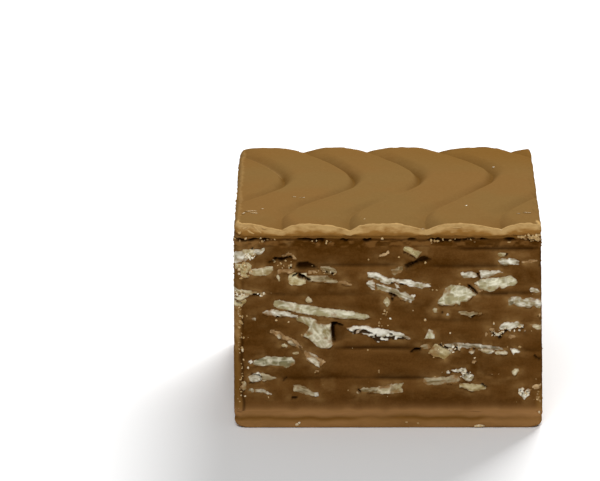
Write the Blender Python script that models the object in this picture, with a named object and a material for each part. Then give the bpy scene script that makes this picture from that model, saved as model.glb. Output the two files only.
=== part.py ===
"""A square praline as a knife cuts it, in metres, +Z up, with its origin under the middle of the base.

Three pieces lie on each other: a thin base of milk chocolate, a nougat filling in pressed layers, and a
milk chocolate top that a comb has drawn into waves. Crisp flakes that the knife has bared stand a little
proud of the filling's four sides, and a few hollows show where a flake or a bubble has gone.
"""

import math
import random

import bmesh
import bpy
from mathutils import Matrix, Vector

MM = 0.001

# Driving dimensions.
SIDE = 27.2 * MM  # of the base, the widest piece
TOP_INSET = (0.2 * MM, 0.1 * MM)  # from the base's sides in to the top's, across and along
FILLING_INSET = 0.14 * MM  # from the base's side in to the filling's
BASE_HEIGHT = 1.6 * MM
FILLING_TOP = 17.2 * MM
CREST_HEIGHT = 18.62 * MM
GAP = 0.3 * MM  # kept between pieces that lie on each other

# The comb's waves: grooves that run from back to front with one bend to the right.
GROOVES = (-20.6, -14.1, -7.8, -1.9, 4.7, 11.3, 17.7)  # their places across in mm, close to the back

# How far right of those places the grooves lie, in mm, at even steps from the front to the back.
PATH_START = -15 * MM
PATH_STEP = 2 * MM
GROOVE_PATH = (
    (-1.0, -1.5, -1.6, -1.2, -0.1, 1.45, 2.95, 4.2)
    + (4.75, 4.7, 4.05, 3.15, 2.05, 0.95, 0.3, -1.5)
)

# The grooves' form from the front to the back: where along, how deep, and the shares of the way to the
# next groove where the crest begins and ends. Each groove is steep on its right in front, and on its left
# at the back. All in mm.
COMB_FORM = (
    (-13.5, 0.64, 0.30, 0.42),
    (-10.5, 0.42, 0.14, 0.72),
    (-5.0, 0.36, 0.08, 0.80),
    (0.0, 0.45, 0.12, 0.82),
    (4.0, 0.52, 0.25, 0.92),
    (10.0, 0.45, 0.28, 0.90),
    (13.5, 0.47, 0.45, 0.55),
)

# The filling's pressed layers meet in shallow seams at these heights.
SEAMS = (4.57 * MM, 7.26 * MM, 9.84 * MM, 12.15 * MM, 14.8 * MM)
SEAM_DEPTH = 0.13 * MM
SEAM_HALF_HEIGHT = 0.2 * MM

# Flakes: how far they stand out of the filling, from the least to the most, and reach into it.
PROUD = (0.04 * MM, 0.09 * MM)
EMBEDDED = 1.1 * MM
RIM = 0.1 * MM
LEAN = math.radians(3)  # about a flake's length, to either side
FLAKE_SIDES = ((3.2, 12), (1.6, 10), (0, 8))  # a flake longer than this many mm has this many sides

# Where pieces have been joined or cut: points this near are one, and so are faces this nearly flat.
SAME_PLACE = 0.002 * MM
FLAT_ENOUGH = math.radians(3)

# Radii of the vertical edges, across and along: the front left one is worn.
SHARP_EDGE = (0.35 * MM, 0.35 * MM)
EDGES = {
    "front_right": SHARP_EDGE,
    "back_right": SHARP_EDGE,
    "back_left": SHARP_EDGE,
    "front_left": (0.65 * MM, 1.3 * MM),
}
BASE_EDGES = dict.fromkeys(EDGES, (0.8 * MM, 0.8 * MM))

# Each side of the filling: the way to its right as seen from outside, and the way out.
FACES = {
    "front": (Vector((1, 0, 0)), Vector((0, -1, 0))),
    "right": (Vector((0, 1, 0)), Vector((1, 0, 0))),
    "back": (Vector((-1, 0, 0)), Vector((0, 1, 0))),
    "left": (Vector((0, -1, 0)), Vector((-1, 0, 0))),
}

# Flakes on the two sides that show: across, height, length, thickness in mm, and tilt in degrees.
FRONT_FLAKES = (
    (-11.6, 16.0, 1.9, 0.6, 12),
    (-12.2, 14.3, 1.2, 0.9, -20),
    (-10.6, 14.3, 1.9, 0.8, 12),
    (-8.0, 13.5, 1.7, 1.2, 0),
    (-5.3, 13.7, 4.0, 0.7, -8),
    (1.1, 13.7, 5.0, 0.6, -12),
    (0.1, 12.4, 4.6, 0.7, -23),
    (-12.0, 11.9, 2.0, 0.5, 4),
    (-5.9, 10.8, 8.8, 1.0, -10),
    (-9.2, 9.9, 3.9, 0.7, -12),
    (-6.3, 8.6, 2.4, 2.4, -70),
    (-0.8, 8.7, 5.7, 0.9, -11),
    (8.2, 7.3, 5.6, 0.7, -7),
    (4.3, 6.8, 2.0, 1.2, -20),
    (4.2, 4.4, 2.8, 0.7, 5),
    (7.4, 3.9, 3.0, 0.8, -8),
    (12.0, 3.0, 1.1, 0.9, -30),
    (-10.1, 6.0, 3.8, 0.8, 2),
    (-11.3, 3.6, 2.0, 0.5, -8),
    (-7.3, 3.3, 2.4, 0.7, -22),
    (-8.9, 8.1, 2.4, 0.6, -31),
    (-6.6, 6.1, 2.3, 0.9, -38),
    (-0.7, 3.5, 4.4, 0.7, 8),
    (2.2, 16.1, 1.8, 0.8, -32),
    (8.4, 14.2, 3.7, 0.6, 3),
    (9.9, 13.0, 3.5, 0.9, 8),
    (5.9, 12.1, 2.9, 1.5, 18),
    (10.7, 15.2, 1.9, 0.6, 0),
    (12.0, 11.3, 2.6, 0.8, -13),
    (10.9, 9.2, 2.4, 0.7, 5),
)
LEFT_FLAKES = (
    (-8.8, 16.4, 2.8, 0.5, -13),
    (-6.6, 15.1, 1.9, 0.8, -10),
    (-7.4, 13.3, 2.4, 0.8, -15),
    (-8.0, 11.9, 2.2, 0.9, 0),
    (-4.4, 14.0, 3.4, 0.4, -9),
    (-9.7, 10.2, 5.5, 0.9, -4),
    (-9.9, 7.7, 4.5, 0.9, -11),
    (-10.2, 5.7, 3.6, 0.7, -4),
    (-6.7, 5.0, 2.6, 0.7, -20),
    (-3.2, 9.1, 2.5, 0.6, -24),
    (-0.8, 7.5, 2.8, 0.9, 3),
    (1.7, 7.3, 1.9, 0.8, -88),
    (-1.0, 11.6, 2.8, 0.4, -1),
    (1.1, 14.0, 3.0, 0.8, -20),
    (4.5, 12.2, 1.6, 0.8, -14),
    (6.4, 15.4, 2.7, 0.9, -8),
    (10.3, 16.2, 3.0, 0.7, -2),
    (9.9, 14.8, 2.9, 0.9, -9),
    (10.4, 12.7, 2.8, 0.6, -2),
    (2.6, 11.3, 2.2, 0.5, -4),
    (3.2, 5.3, 1.2, 0.8, 3),
    (6.9, 8.0, 2.3, 0.5, 4),
    (9.0, 2.7, 1.8, 0.6, -16),
)

# Hollows on the same sides: across, height, length, height of the mouth in mm, and tilt in degrees.
FRONT_HOLLOWS = (
    (-4.3, 8.4, 1.4, 1.7, 20),
    (7.6, 12.6, 1.6, 0.6, 12),
    (2.6, 15.2, 2.4, 0.5, 12),
    (-7.3, 14.9, 2.0, 0.7, 0),
    (10.9, 8.6, 1.8, 0.4, 5),
)
LEFT_HOLLOWS = (
    (-10.5, 3.2, 1.0, 1.0, 0),
    (-4.6, 11.9, 1.4, 0.5, -10),
    (3.6, 14.9, 1.6, 0.5, -10),
)

# Flakes on the two sides that don't show are drawn by rule, row by row, in like sizes.
DRAWN_ROWS = (3.4, 5.4, 7.5, 9.6, 11.6, 13.6, 15.6)
DRAWN_SEEDS = {"right": 11, "back": 23}

CHOCOLATE = (0.40, 0.21, 0.075, 1)
PALE_CHOCOLATE = (0.29, 0.16, 0.055, 1)
NOUGAT = (0.085, 0.036, 0.010, 1)


def clear_scene():
    for item in list(bpy.data.objects):
        bpy.data.objects.remove(item, do_unlink=True)


def new_collection(name):
    group = bpy.data.collections.new(name)
    bpy.context.scene.collection.children.link(group)
    return group


def make_material(name, colour, roughness):
    material = bpy.data.materials.new(name)
    material.use_nodes = True
    shader = material.node_tree.nodes["Principled BSDF"]
    shader.inputs["Base Color"].default_value = colour
    shader.inputs["Roughness"].default_value = roughness
    shader.inputs["Metallic"].default_value = 0.0
    return material


def add_object(name, mesh_data, group):
    """Makes the bmesh an object of this name."""
    bmesh.ops.recalc_face_normals(mesh_data, faces=mesh_data.faces)
    mesh = bpy.data.meshes.new(name)
    mesh_data.to_mesh(mesh)
    mesh_data.free()
    item = bpy.data.objects.new(name, mesh)
    group.objects.link(item)
    return item


def finish(item, material):
    item.data.materials.clear()
    item.data.materials.append(material)
    item.data.shade_smooth()
    item.data.set_sharp_from_angle(angle=math.radians(35))


def rounded_outline(half_x, half_y, edges, side_steps, arc_steps=4):
    """Points round a rectangle with rounded corners, counter-clockwise from the front right corner."""
    points = []
    for quarter, (radius_x, radius_y) in enumerate(edges.values()):
        sign_x = 1 if quarter in (0, 1) else -1
        sign_y = 1 if quarter in (1, 2) else -1
        for step in range(arc_steps + 1):
            turn = math.radians(90) * (quarter - 1 + step / arc_steps)
            x = sign_x * (half_x - radius_x) + radius_x * math.cos(turn)
            y = sign_y * (half_y - radius_y) + radius_y * math.sin(turn)
            points.append(Vector((x, y, 0)))
    arc_points = arc_steps + 1
    ring = []
    for quarter in range(4):
        arc = points[quarter * arc_points : (quarter + 1) * arc_points]
        following = points[(quarter + 1) * arc_points % len(points)]
        ring += arc
        ring += [arc[-1].lerp(following, step / side_steps) for step in range(1, side_steps)]
    return ring


def loft(name, rings, group):
    """A closed body that rises from the first ring through each that follows."""
    body = bmesh.new()
    place = body.verts.layers.int.new("place")
    for index, point in enumerate(rings[0]):
        body.verts.new(point)[place] = index
    lid = body.faces.new(body.verts)
    for ring in rings[1:]:
        risen = bmesh.ops.extrude_face_region(body, geom=[lid])["geom"]
        if ring is not rings[1]:
            bmesh.ops.delete(body, geom=[lid], context="FACES_ONLY")
        lid = next(part for part in risen if isinstance(part, bmesh.types.BMFace))
        for corner in lid.verts:
            corner.co = ring[corner[place]]
    return add_object(name, body, group)


def base_rings():
    """Levels of the base: a foot that is rounder at left and right, a shallow groove, and a low ridge."""
    profile = (
        (0.0, 0.75, 0.35),
        (0.1, 0.45, 0.12),
        (0.25, 0.22, 0.03),
        (0.5, 0.05, 0.0),
        (0.66, 0.04, 0.04),
        (0.78, 0.1, 0.1),
        (0.9, 0.04, 0.04),
        (1.04, 0.0, 0.0),
        (1.3, 0.0, 0.0),
        (1.48, 0.05, 0.05),
        (BASE_HEIGHT / MM, 0.14, 0.14),
    )
    rings = []
    for height, inset_x, inset_y in profile:
        half_x, half_y = SIDE / 2 - inset_x * MM, SIDE / 2 - inset_y * MM
        ring = rounded_outline(half_x, half_y, BASE_EDGES, side_steps=3)
        rings.append([point + Vector((0, 0, height * MM)) for point in ring])
    return rings


def seam_point(point, seam, number, shift):
    """A point of a seam, or of the layer just under or over it: the seam wanders and its depth varies."""
    around = math.atan2(point.y, point.x)
    wander = 0.12 * MM * math.sin(5 * around + 2.1 * number)
    fade = 0.65 + 0.35 * math.sin(7 * around + 1.3 * number)
    pulled = point.copy()
    if shift == 0:
        pulled *= 1 - SEAM_DEPTH * fade / (SIDE / 2)
    pulled.z = seam + wander + shift * SEAM_HALF_HEIGHT
    return pulled


def filling_rings():
    half_side = SIDE / 2 - FILLING_INSET
    tucked_half = half_side - 0.12 * MM
    ring = rounded_outline(half_side, half_side, EDGES, side_steps=9)
    tucked = rounded_outline(tucked_half, tucked_half, EDGES, side_steps=9)
    bottom = BASE_HEIGHT + GAP
    rings = [[point + Vector((0, 0, bottom)) for point in tucked]]
    rings.append([point + Vector((0, 0, bottom + 0.15 * MM)) for point in ring])
    for number, seam in enumerate(SEAMS):
        for shift in (-1, 0, 1):
            rings.append([seam_point(point, seam, number, shift) for point in ring])
    rings.append([point + Vector((0, 0, FILLING_TOP - 0.25 * MM)) for point in ring])
    rings.append([point + Vector((0, 0, FILLING_TOP)) for point in tucked])
    return rings


def on_face(face, across, height, tilt, out):
    """The place and turn of a thing on a side of the filling, its own Z pointing outward."""
    right, outward = FACES[face]
    reach = SIDE / 2 - FILLING_INSET + out
    turn = Matrix((right, Vector((0, 0, 1)), outward)).transposed().to_4x4()
    place = Matrix.Translation(right * across + outward * reach + Vector((0, 0, height)))
    return place @ turn @ Matrix.Rotation(math.radians(tilt), 4, "Z")


def ragged_ring(angle, length, thickness, draw):
    """A point of a flake's outline at this angle: nearly a rectangle, with a broken edge."""
    blockiness = 0.62
    x = math.copysign(abs(math.cos(angle)) ** blockiness, math.cos(angle))
    y = math.copysign(abs(math.sin(angle)) ** blockiness, math.sin(angle))
    return Vector((x * length / 2, y * thickness / 2, 0)) * draw.uniform(0.86, 1.06)


def add_flake(face, row, draw, group):
    """A slab of flake that reaches into the filling, with the rim of its bared end rounded off."""
    across, height, length, thickness = (value * MM for value in row[:4])
    sides = next(count for least, count in FLAKE_SIDES if row[2] > least)
    body = bmesh.new()
    proud = draw.uniform(*PROUD)
    depth = proud + EMBEDDED
    bmesh.ops.create_cone(
        body, cap_ends=True, segments=sides, radius1=1, radius2=1, depth=depth
    )
    ring = [ragged_ring(math.tau * step / sides, length, thickness, draw) for step in range(sides)]
    taper = draw.uniform(-0.22, 0.22)
    for corner in body.verts:
        step = round(math.atan2(corner.co.y, corner.co.x) / math.tau * sides) % sides
        spread = 1 + taper * ring[step].x / (length / 2)
        corner.co.x, corner.co.y = ring[step].x, ring[step].y * spread
    bared = next(end for end in body.faces if end.normal.z > 0.9)
    bmesh.ops.bevel(
        body, geom=list(bared.edges), offset=RIM, offset_type="OFFSET", segments=1, affect="EDGES"
    )
    flake = add_object(f"flake_{face}_{len(group.objects)}", body, group)
    lean = Matrix.Rotation(draw.uniform(-LEAN, LEAN), 4, "X")
    flake.matrix_world = on_face(face, across, height, row[4], proud - depth / 2) @ lean


def add_hollow(face, row, group):
    """An egg-shaped cutter that opens a hollow in a side."""
    across, height, length, mouth = (value * MM for value in row[:4])
    body = bmesh.new()
    bmesh.ops.create_uvsphere(body, u_segments=10, v_segments=6, radius=1)
    deepest = 0.45 * MM + 0.5 * min(length, mouth)
    bmesh.ops.scale(body, vec=(length / 2, mouth / 2, deepest), verts=body.verts)
    cutter = add_object(f"hollow_{face}_{len(group.objects)}", body, group)
    cutter.matrix_world = on_face(face, across, height, row[4], 0.05 * MM)


def drawn_flakes(seed):
    """Rows of flakes for a side that doesn't show: mostly lying flat, with bare stretches between."""
    draw = random.Random(seed)
    rows = []
    for height in DRAWN_ROWS:
        across = -12.6 + draw.uniform(0, 2.5)
        while across < 11.0:
            length = min(1.0 + draw.expovariate(0.5), 6.5)
            if across + length > 12.8:
                break
            thickness = draw.uniform(0.5, 1.0)
            tilt = draw.gauss(-4, 9) if length > 2.5 else draw.gauss(0, 24)
            lift = draw.uniform(-0.45, 0.45)
            rows.append((across + length / 2, height + lift, length, thickness, tilt))
            across += length + draw.uniform(0.8, 4.5)
    return rows


def combine(body, group, operation):
    """Joins the collection's objects to the body, or cuts them out of it, and removes them."""
    change = body.modifiers.new(operation.title(), "BOOLEAN")
    change.operation = operation
    change.operand_type = "COLLECTION"
    change.solver = "MANIFOLD"
    change.collection = group
    bpy.context.view_layer.update()
    bpy.context.view_layer.objects.active = body
    bpy.ops.object.modifier_apply(modifier=change.name)
    for item in list(group.objects):
        bpy.data.objects.remove(item, do_unlink=True)


def joined_to(start):
    """The points that edges join to this one, itself among them."""
    found = {start}
    waiting = [start]
    while waiting:
        for edge in waiting.pop().link_edges:
            for corner in edge.verts:
                if corner not in found:
                    found.add(corner)
                    waiting.append(corner)
    return found


def drop_scraps(body):
    """Leaves only the largest of the bodies that lie apart."""
    bodies = []
    unseen = set(body.verts)
    while unseen:
        found = joined_to(next(iter(unseen)))
        unseen -= found
        bodies.append(found)
    largest = max(bodies, key=len)
    scraps = [corner for corner in body.verts if corner not in largest]
    bmesh.ops.delete(body, geom=scraps, context="VERTS")


def thin_out(item):
    """Takes away points that nearly meet or lie on nearly flat stretches, and leaves triangles."""
    body = bmesh.new()
    body.from_mesh(item.data)
    bmesh.ops.remove_doubles(body, verts=body.verts, dist=SAME_PLACE)
    drop_scraps(body)
    bmesh.ops.dissolve_limit(body, angle_limit=FLAT_ENOUGH, verts=body.verts, edges=body.edges)
    bmesh.ops.triangulate(body, faces=body.faces)
    bmesh.ops.dissolve_degenerate(body, dist=SAME_PLACE, edges=body.edges)
    bmesh.ops.triangulate(body, faces=body.faces)
    body.to_mesh(item.data)
    body.free()


def groove_shift(y):
    """How far right of its place a groove lies here, on a smooth curve through the path's points."""
    steps = (y - PATH_START) / PATH_STEP
    first = max(1, min(len(GROOVE_PATH) - 3, math.floor(steps)))
    share = steps - first
    before, start, end, after = GROOVE_PATH[first - 1 : first + 3]
    slope_in, slope_out = (end - before) / 2, (after - start) / 2
    straight = start + share * (end - start)
    bow_in = slope_in - (end - start)
    bow_out = slope_out - (end - start)
    return (straight + share * (1 - share) * (bow_in * (1 - share) - bow_out * share)) * MM


def comb_form(y):
    """A groove's depth, and the shares of the way to the next one where the crest begins and ends."""
    at = y / MM
    for low, high in zip(COMB_FORM, COMB_FORM[1:]):
        if at < high[0]:
            break
    share = max(0, min(1, (at - low[0]) / (high[0] - low[0])))
    depth, begin, end = (start + share * (stop - start) for start, stop in zip(low[1:], high[1:]))
    return depth * MM, begin, end


def comb_profile(y):
    """Points over the way from one groove to the next: the share of the way, and how far under the crest."""
    depth, begin, end = comb_form(y)
    rising = [(step * begin, math.sin(math.pi / 2 * step)) for step in (0, 0.4, 0.7, 1)]
    falling = [(end + step * (1 - end), math.cos(math.pi / 2 * step)) for step in (0, 0.35, 0.7)]
    return [(share, depth * (1 - rise)) for share, rise in rising + falling]


def make_combed_block(group):
    """A block wider than the praline, its upper face drawn into waves."""
    points_a_wave = len(comb_profile(0))
    columns = (len(GROOVES) - 1) * points_a_wave
    rows = 28
    half_side = SIDE / 2 + 1 * MM
    underside = FILLING_TOP + GAP - 1 * MM
    body = bmesh.new()
    bmesh.ops.create_grid(body, x_segments=columns, y_segments=rows, size=0.5)
    places = {corner: (corner.co.x + 0.5, corner.co.y + 0.5) for corner in body.verts}
    for corner, (u, v) in places.items():
        number, step = divmod(round(u * columns), points_a_wave)
        y = half_side * (2 * v - 1)
        share, below = comb_profile(y)[step]
        following = GROOVES[min(number + 1, len(GROOVES) - 1)]
        across = (GROOVES[number] + share * (following - GROOVES[number])) * MM
        corner.co = (across + groove_shift(y), y, CREST_HEIGHT - below)
    upper = list(body.faces)
    lowered = bmesh.ops.extrude_face_region(body, geom=upper, use_keep_orig=True)["geom"]
    lower_faces = [part for part in lowered if isinstance(part, bmesh.types.BMFace)]
    for part in lowered:
        if isinstance(part, bmesh.types.BMVert):
            part.co.z = underside
    bmesh.ops.dissolve_faces(body, faces=lower_faces)
    return add_object("combed_block", body, group)


def make_combed_top(group, cutters):
    """The top is the combed block, cut square; its lower edge is drawn in under a small lip."""
    bottom = FILLING_TOP + GAP
    rings = []
    for height, inset in ((bottom, 0.14 * MM), (bottom + 0.18 * MM, 0), (CREST_HEIGHT + 1 * MM, 0)):
        half_x, half_y = (SIDE / 2 - inward - inset for inward in TOP_INSET)
        ring = rounded_outline(half_x, half_y, EDGES, side_steps=1)
        rings.append([point + Vector((0, 0, height)) for point in ring])
    top = loft("combed_top", rings, group)
    make_combed_block(cutters)
    combine(top, cutters, "INTERSECT")
    return top


def make_filling(group, flakes, hollows):
    filling = loft("praline_filling", filling_rings(), group)
    rows = {"front": FRONT_FLAKES, "left": LEFT_FLAKES}
    rows |= {face: drawn_flakes(seed) for face, seed in DRAWN_SEEDS.items()}
    draw = random.Random(5)
    for face, face_rows in rows.items():
        for row in face_rows:
            add_flake(face, row, draw, flakes)
    combine(filling, flakes, "UNION")
    for row in FRONT_HOLLOWS:
        add_hollow("front", row, hollows)
    for row in LEFT_HOLLOWS:
        add_hollow("left", row, hollows)
    combine(filling, hollows, "DIFFERENCE")
    thin_out(filling)
    return filling


def main():
    clear_scene()
    praline = new_collection("praline")
    cutters = new_collection("cutters")
    cutters.hide_render = True
    flakes = new_collection("flakes")
    flakes.hide_render = True
    finish(loft("milk_base", base_rings(), praline), make_material("pale_chocolate", PALE_CHOCOLATE, 0.45))
    finish(make_filling(praline, flakes, cutters), make_material("nougat", NOUGAT, 0.6))
    finish(make_combed_top(praline, cutters), make_material("milk_chocolate", CHOCOLATE, 0.42))


main()
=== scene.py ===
"""The praline's looks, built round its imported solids: nougat with bared flakes, a base and a combed top.

Everything is worked out in millimetres and turned into metres as each mesh is made. A place on a side is
given by the way along the outline and the height, so that what lies there follows the side's own relief.
"""

import collections
import itertools
import math
import random

import bmesh
import bpy
import numpy as np
from mathutils import Euler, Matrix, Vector


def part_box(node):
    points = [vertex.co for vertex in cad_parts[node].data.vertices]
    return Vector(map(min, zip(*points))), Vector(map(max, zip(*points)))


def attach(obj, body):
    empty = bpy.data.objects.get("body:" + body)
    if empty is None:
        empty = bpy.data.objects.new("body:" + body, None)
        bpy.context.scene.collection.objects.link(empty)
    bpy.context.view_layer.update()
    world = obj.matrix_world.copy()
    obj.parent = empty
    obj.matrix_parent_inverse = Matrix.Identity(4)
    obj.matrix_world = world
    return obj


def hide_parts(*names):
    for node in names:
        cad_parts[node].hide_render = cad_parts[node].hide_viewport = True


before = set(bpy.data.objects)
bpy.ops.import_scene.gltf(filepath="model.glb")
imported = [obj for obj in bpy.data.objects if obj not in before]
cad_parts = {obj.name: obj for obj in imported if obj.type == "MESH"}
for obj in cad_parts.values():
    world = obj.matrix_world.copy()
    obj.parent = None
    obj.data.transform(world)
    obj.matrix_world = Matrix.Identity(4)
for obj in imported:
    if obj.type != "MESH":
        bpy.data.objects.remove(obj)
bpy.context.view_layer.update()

MM = 0.001
BASE_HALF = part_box("milk_base")[1].x / MM
BASE_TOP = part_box("milk_base")[1].z / MM
TOP_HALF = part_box("combed_top")[1].y / MM
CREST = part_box("combed_top")[1].z / MM
TOP_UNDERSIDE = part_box("combed_top")[0].z / MM
FILLING_HALF = BASE_HALF - 0.1
TOP_REACH = TOP_HALF - 0.02
TOP_LEFT, TOP_RIGHT = TOP_HALF - 0.1, TOP_HALF - 0.22

# How far apart the points of the fine meshes lie. The base's are given for each side.
FRONT_STEP = 0.085
SIDE_STEP = 0.18
HIDDEN_STEP = 0.28
HEIGHT_STEP = 0.12
TOP_STEP = 0.1
FLAKE_STEP = 0.055
HIDDEN_FLAKE_STEP = 0.09
BASE_STEPS = (0.14, 0.25, 0.25, 0.2)

# Vertical edges, as radii across and along: the front left one is worn.
SHARP_EDGE = (0.35, 0.35)
WORN_EDGE = (0.65, 1.3)
BASE_EDGE = (0.8, 0.8)
# How far from the front's middle a ring of points starts, round the worn edge.
RING_START = 14.2
# Where the front ends on both sides: what belongs to it fades out between these.
FRONT_END = (13.1, 13.5)

# The comb's waves: where the grooves lie across close to the back, and how far right of that on their
# way from the front to the back, at even steps.
GROOVES = (-20.6, -14.1, -7.8, -1.9, 4.7, 11.3, 17.7)
PATH_START, PATH_STEP = -15.0, 2.0
GROOVE_PATH = (
    (-1.0, -1.5, -1.6, -1.2, -0.1, 1.45, 2.95, 4.2)
    + (4.75, 4.7, 4.05, 3.15, 2.05, 0.95, 0.3, -1.5)
)
# The grooves' form from the front to the back: where along, how deep, and the shares of the way to the
# next groove where the crest begins and ends. Each is steep on its right in front, on its left behind.
COMB_FORM = (
    (-13.5, 0.64, 0.30, 0.42),
    (-10.5, 0.42, 0.14, 0.72),
    (-5.0, 0.36, 0.08, 0.80),
    (0.0, 0.45, 0.12, 0.82),
    (4.0, 0.52, 0.25, 0.92),
    (10.0, 0.45, 0.28, 0.90),
    (13.5, 0.47, 0.45, 0.55),
)
DEEPEST = max(depth for _, depth, _, _ in COMB_FORM)
# Places where the grooves are faint: across, along, their radii, and how faint.
FAINT_SPOTS = (
    (0.9, -4.4, 3.0, 3.0, 0.9),
    (-12.0, -8.0, 3.0, 3.5, 0.4),
    (10.5, -10.5, 2.5, 2.0, 0.3),
)


# Heights at which the filling's layers meet. On the front, each seam's height, from and to across, and
# strength.
SEAMS = (4.57, 7.26, 9.84, 12.15, 14.8)
FRONT_SEAMS = (
    (4.62, -9.2, -2.0, 0.7),
    (4.62, -1.2, 3.2, 1.1),
    (7.34, -4.2, 2.2, 1.2),
    (7.1, 11.0, 13.4, 0.5),
    (9.84, 3.6, 8.3, 0.4),
    (12.2, -11.0, -1.6, 0.35),
    (12.3, 8.2, 12.6, 1.1),
    (14.9, -6.3, 0.6, 0.9),
    (14.85, 3.8, 10.0, 0.8),
    (16.4, 6.2, 13.4, 1.1),
)

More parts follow.
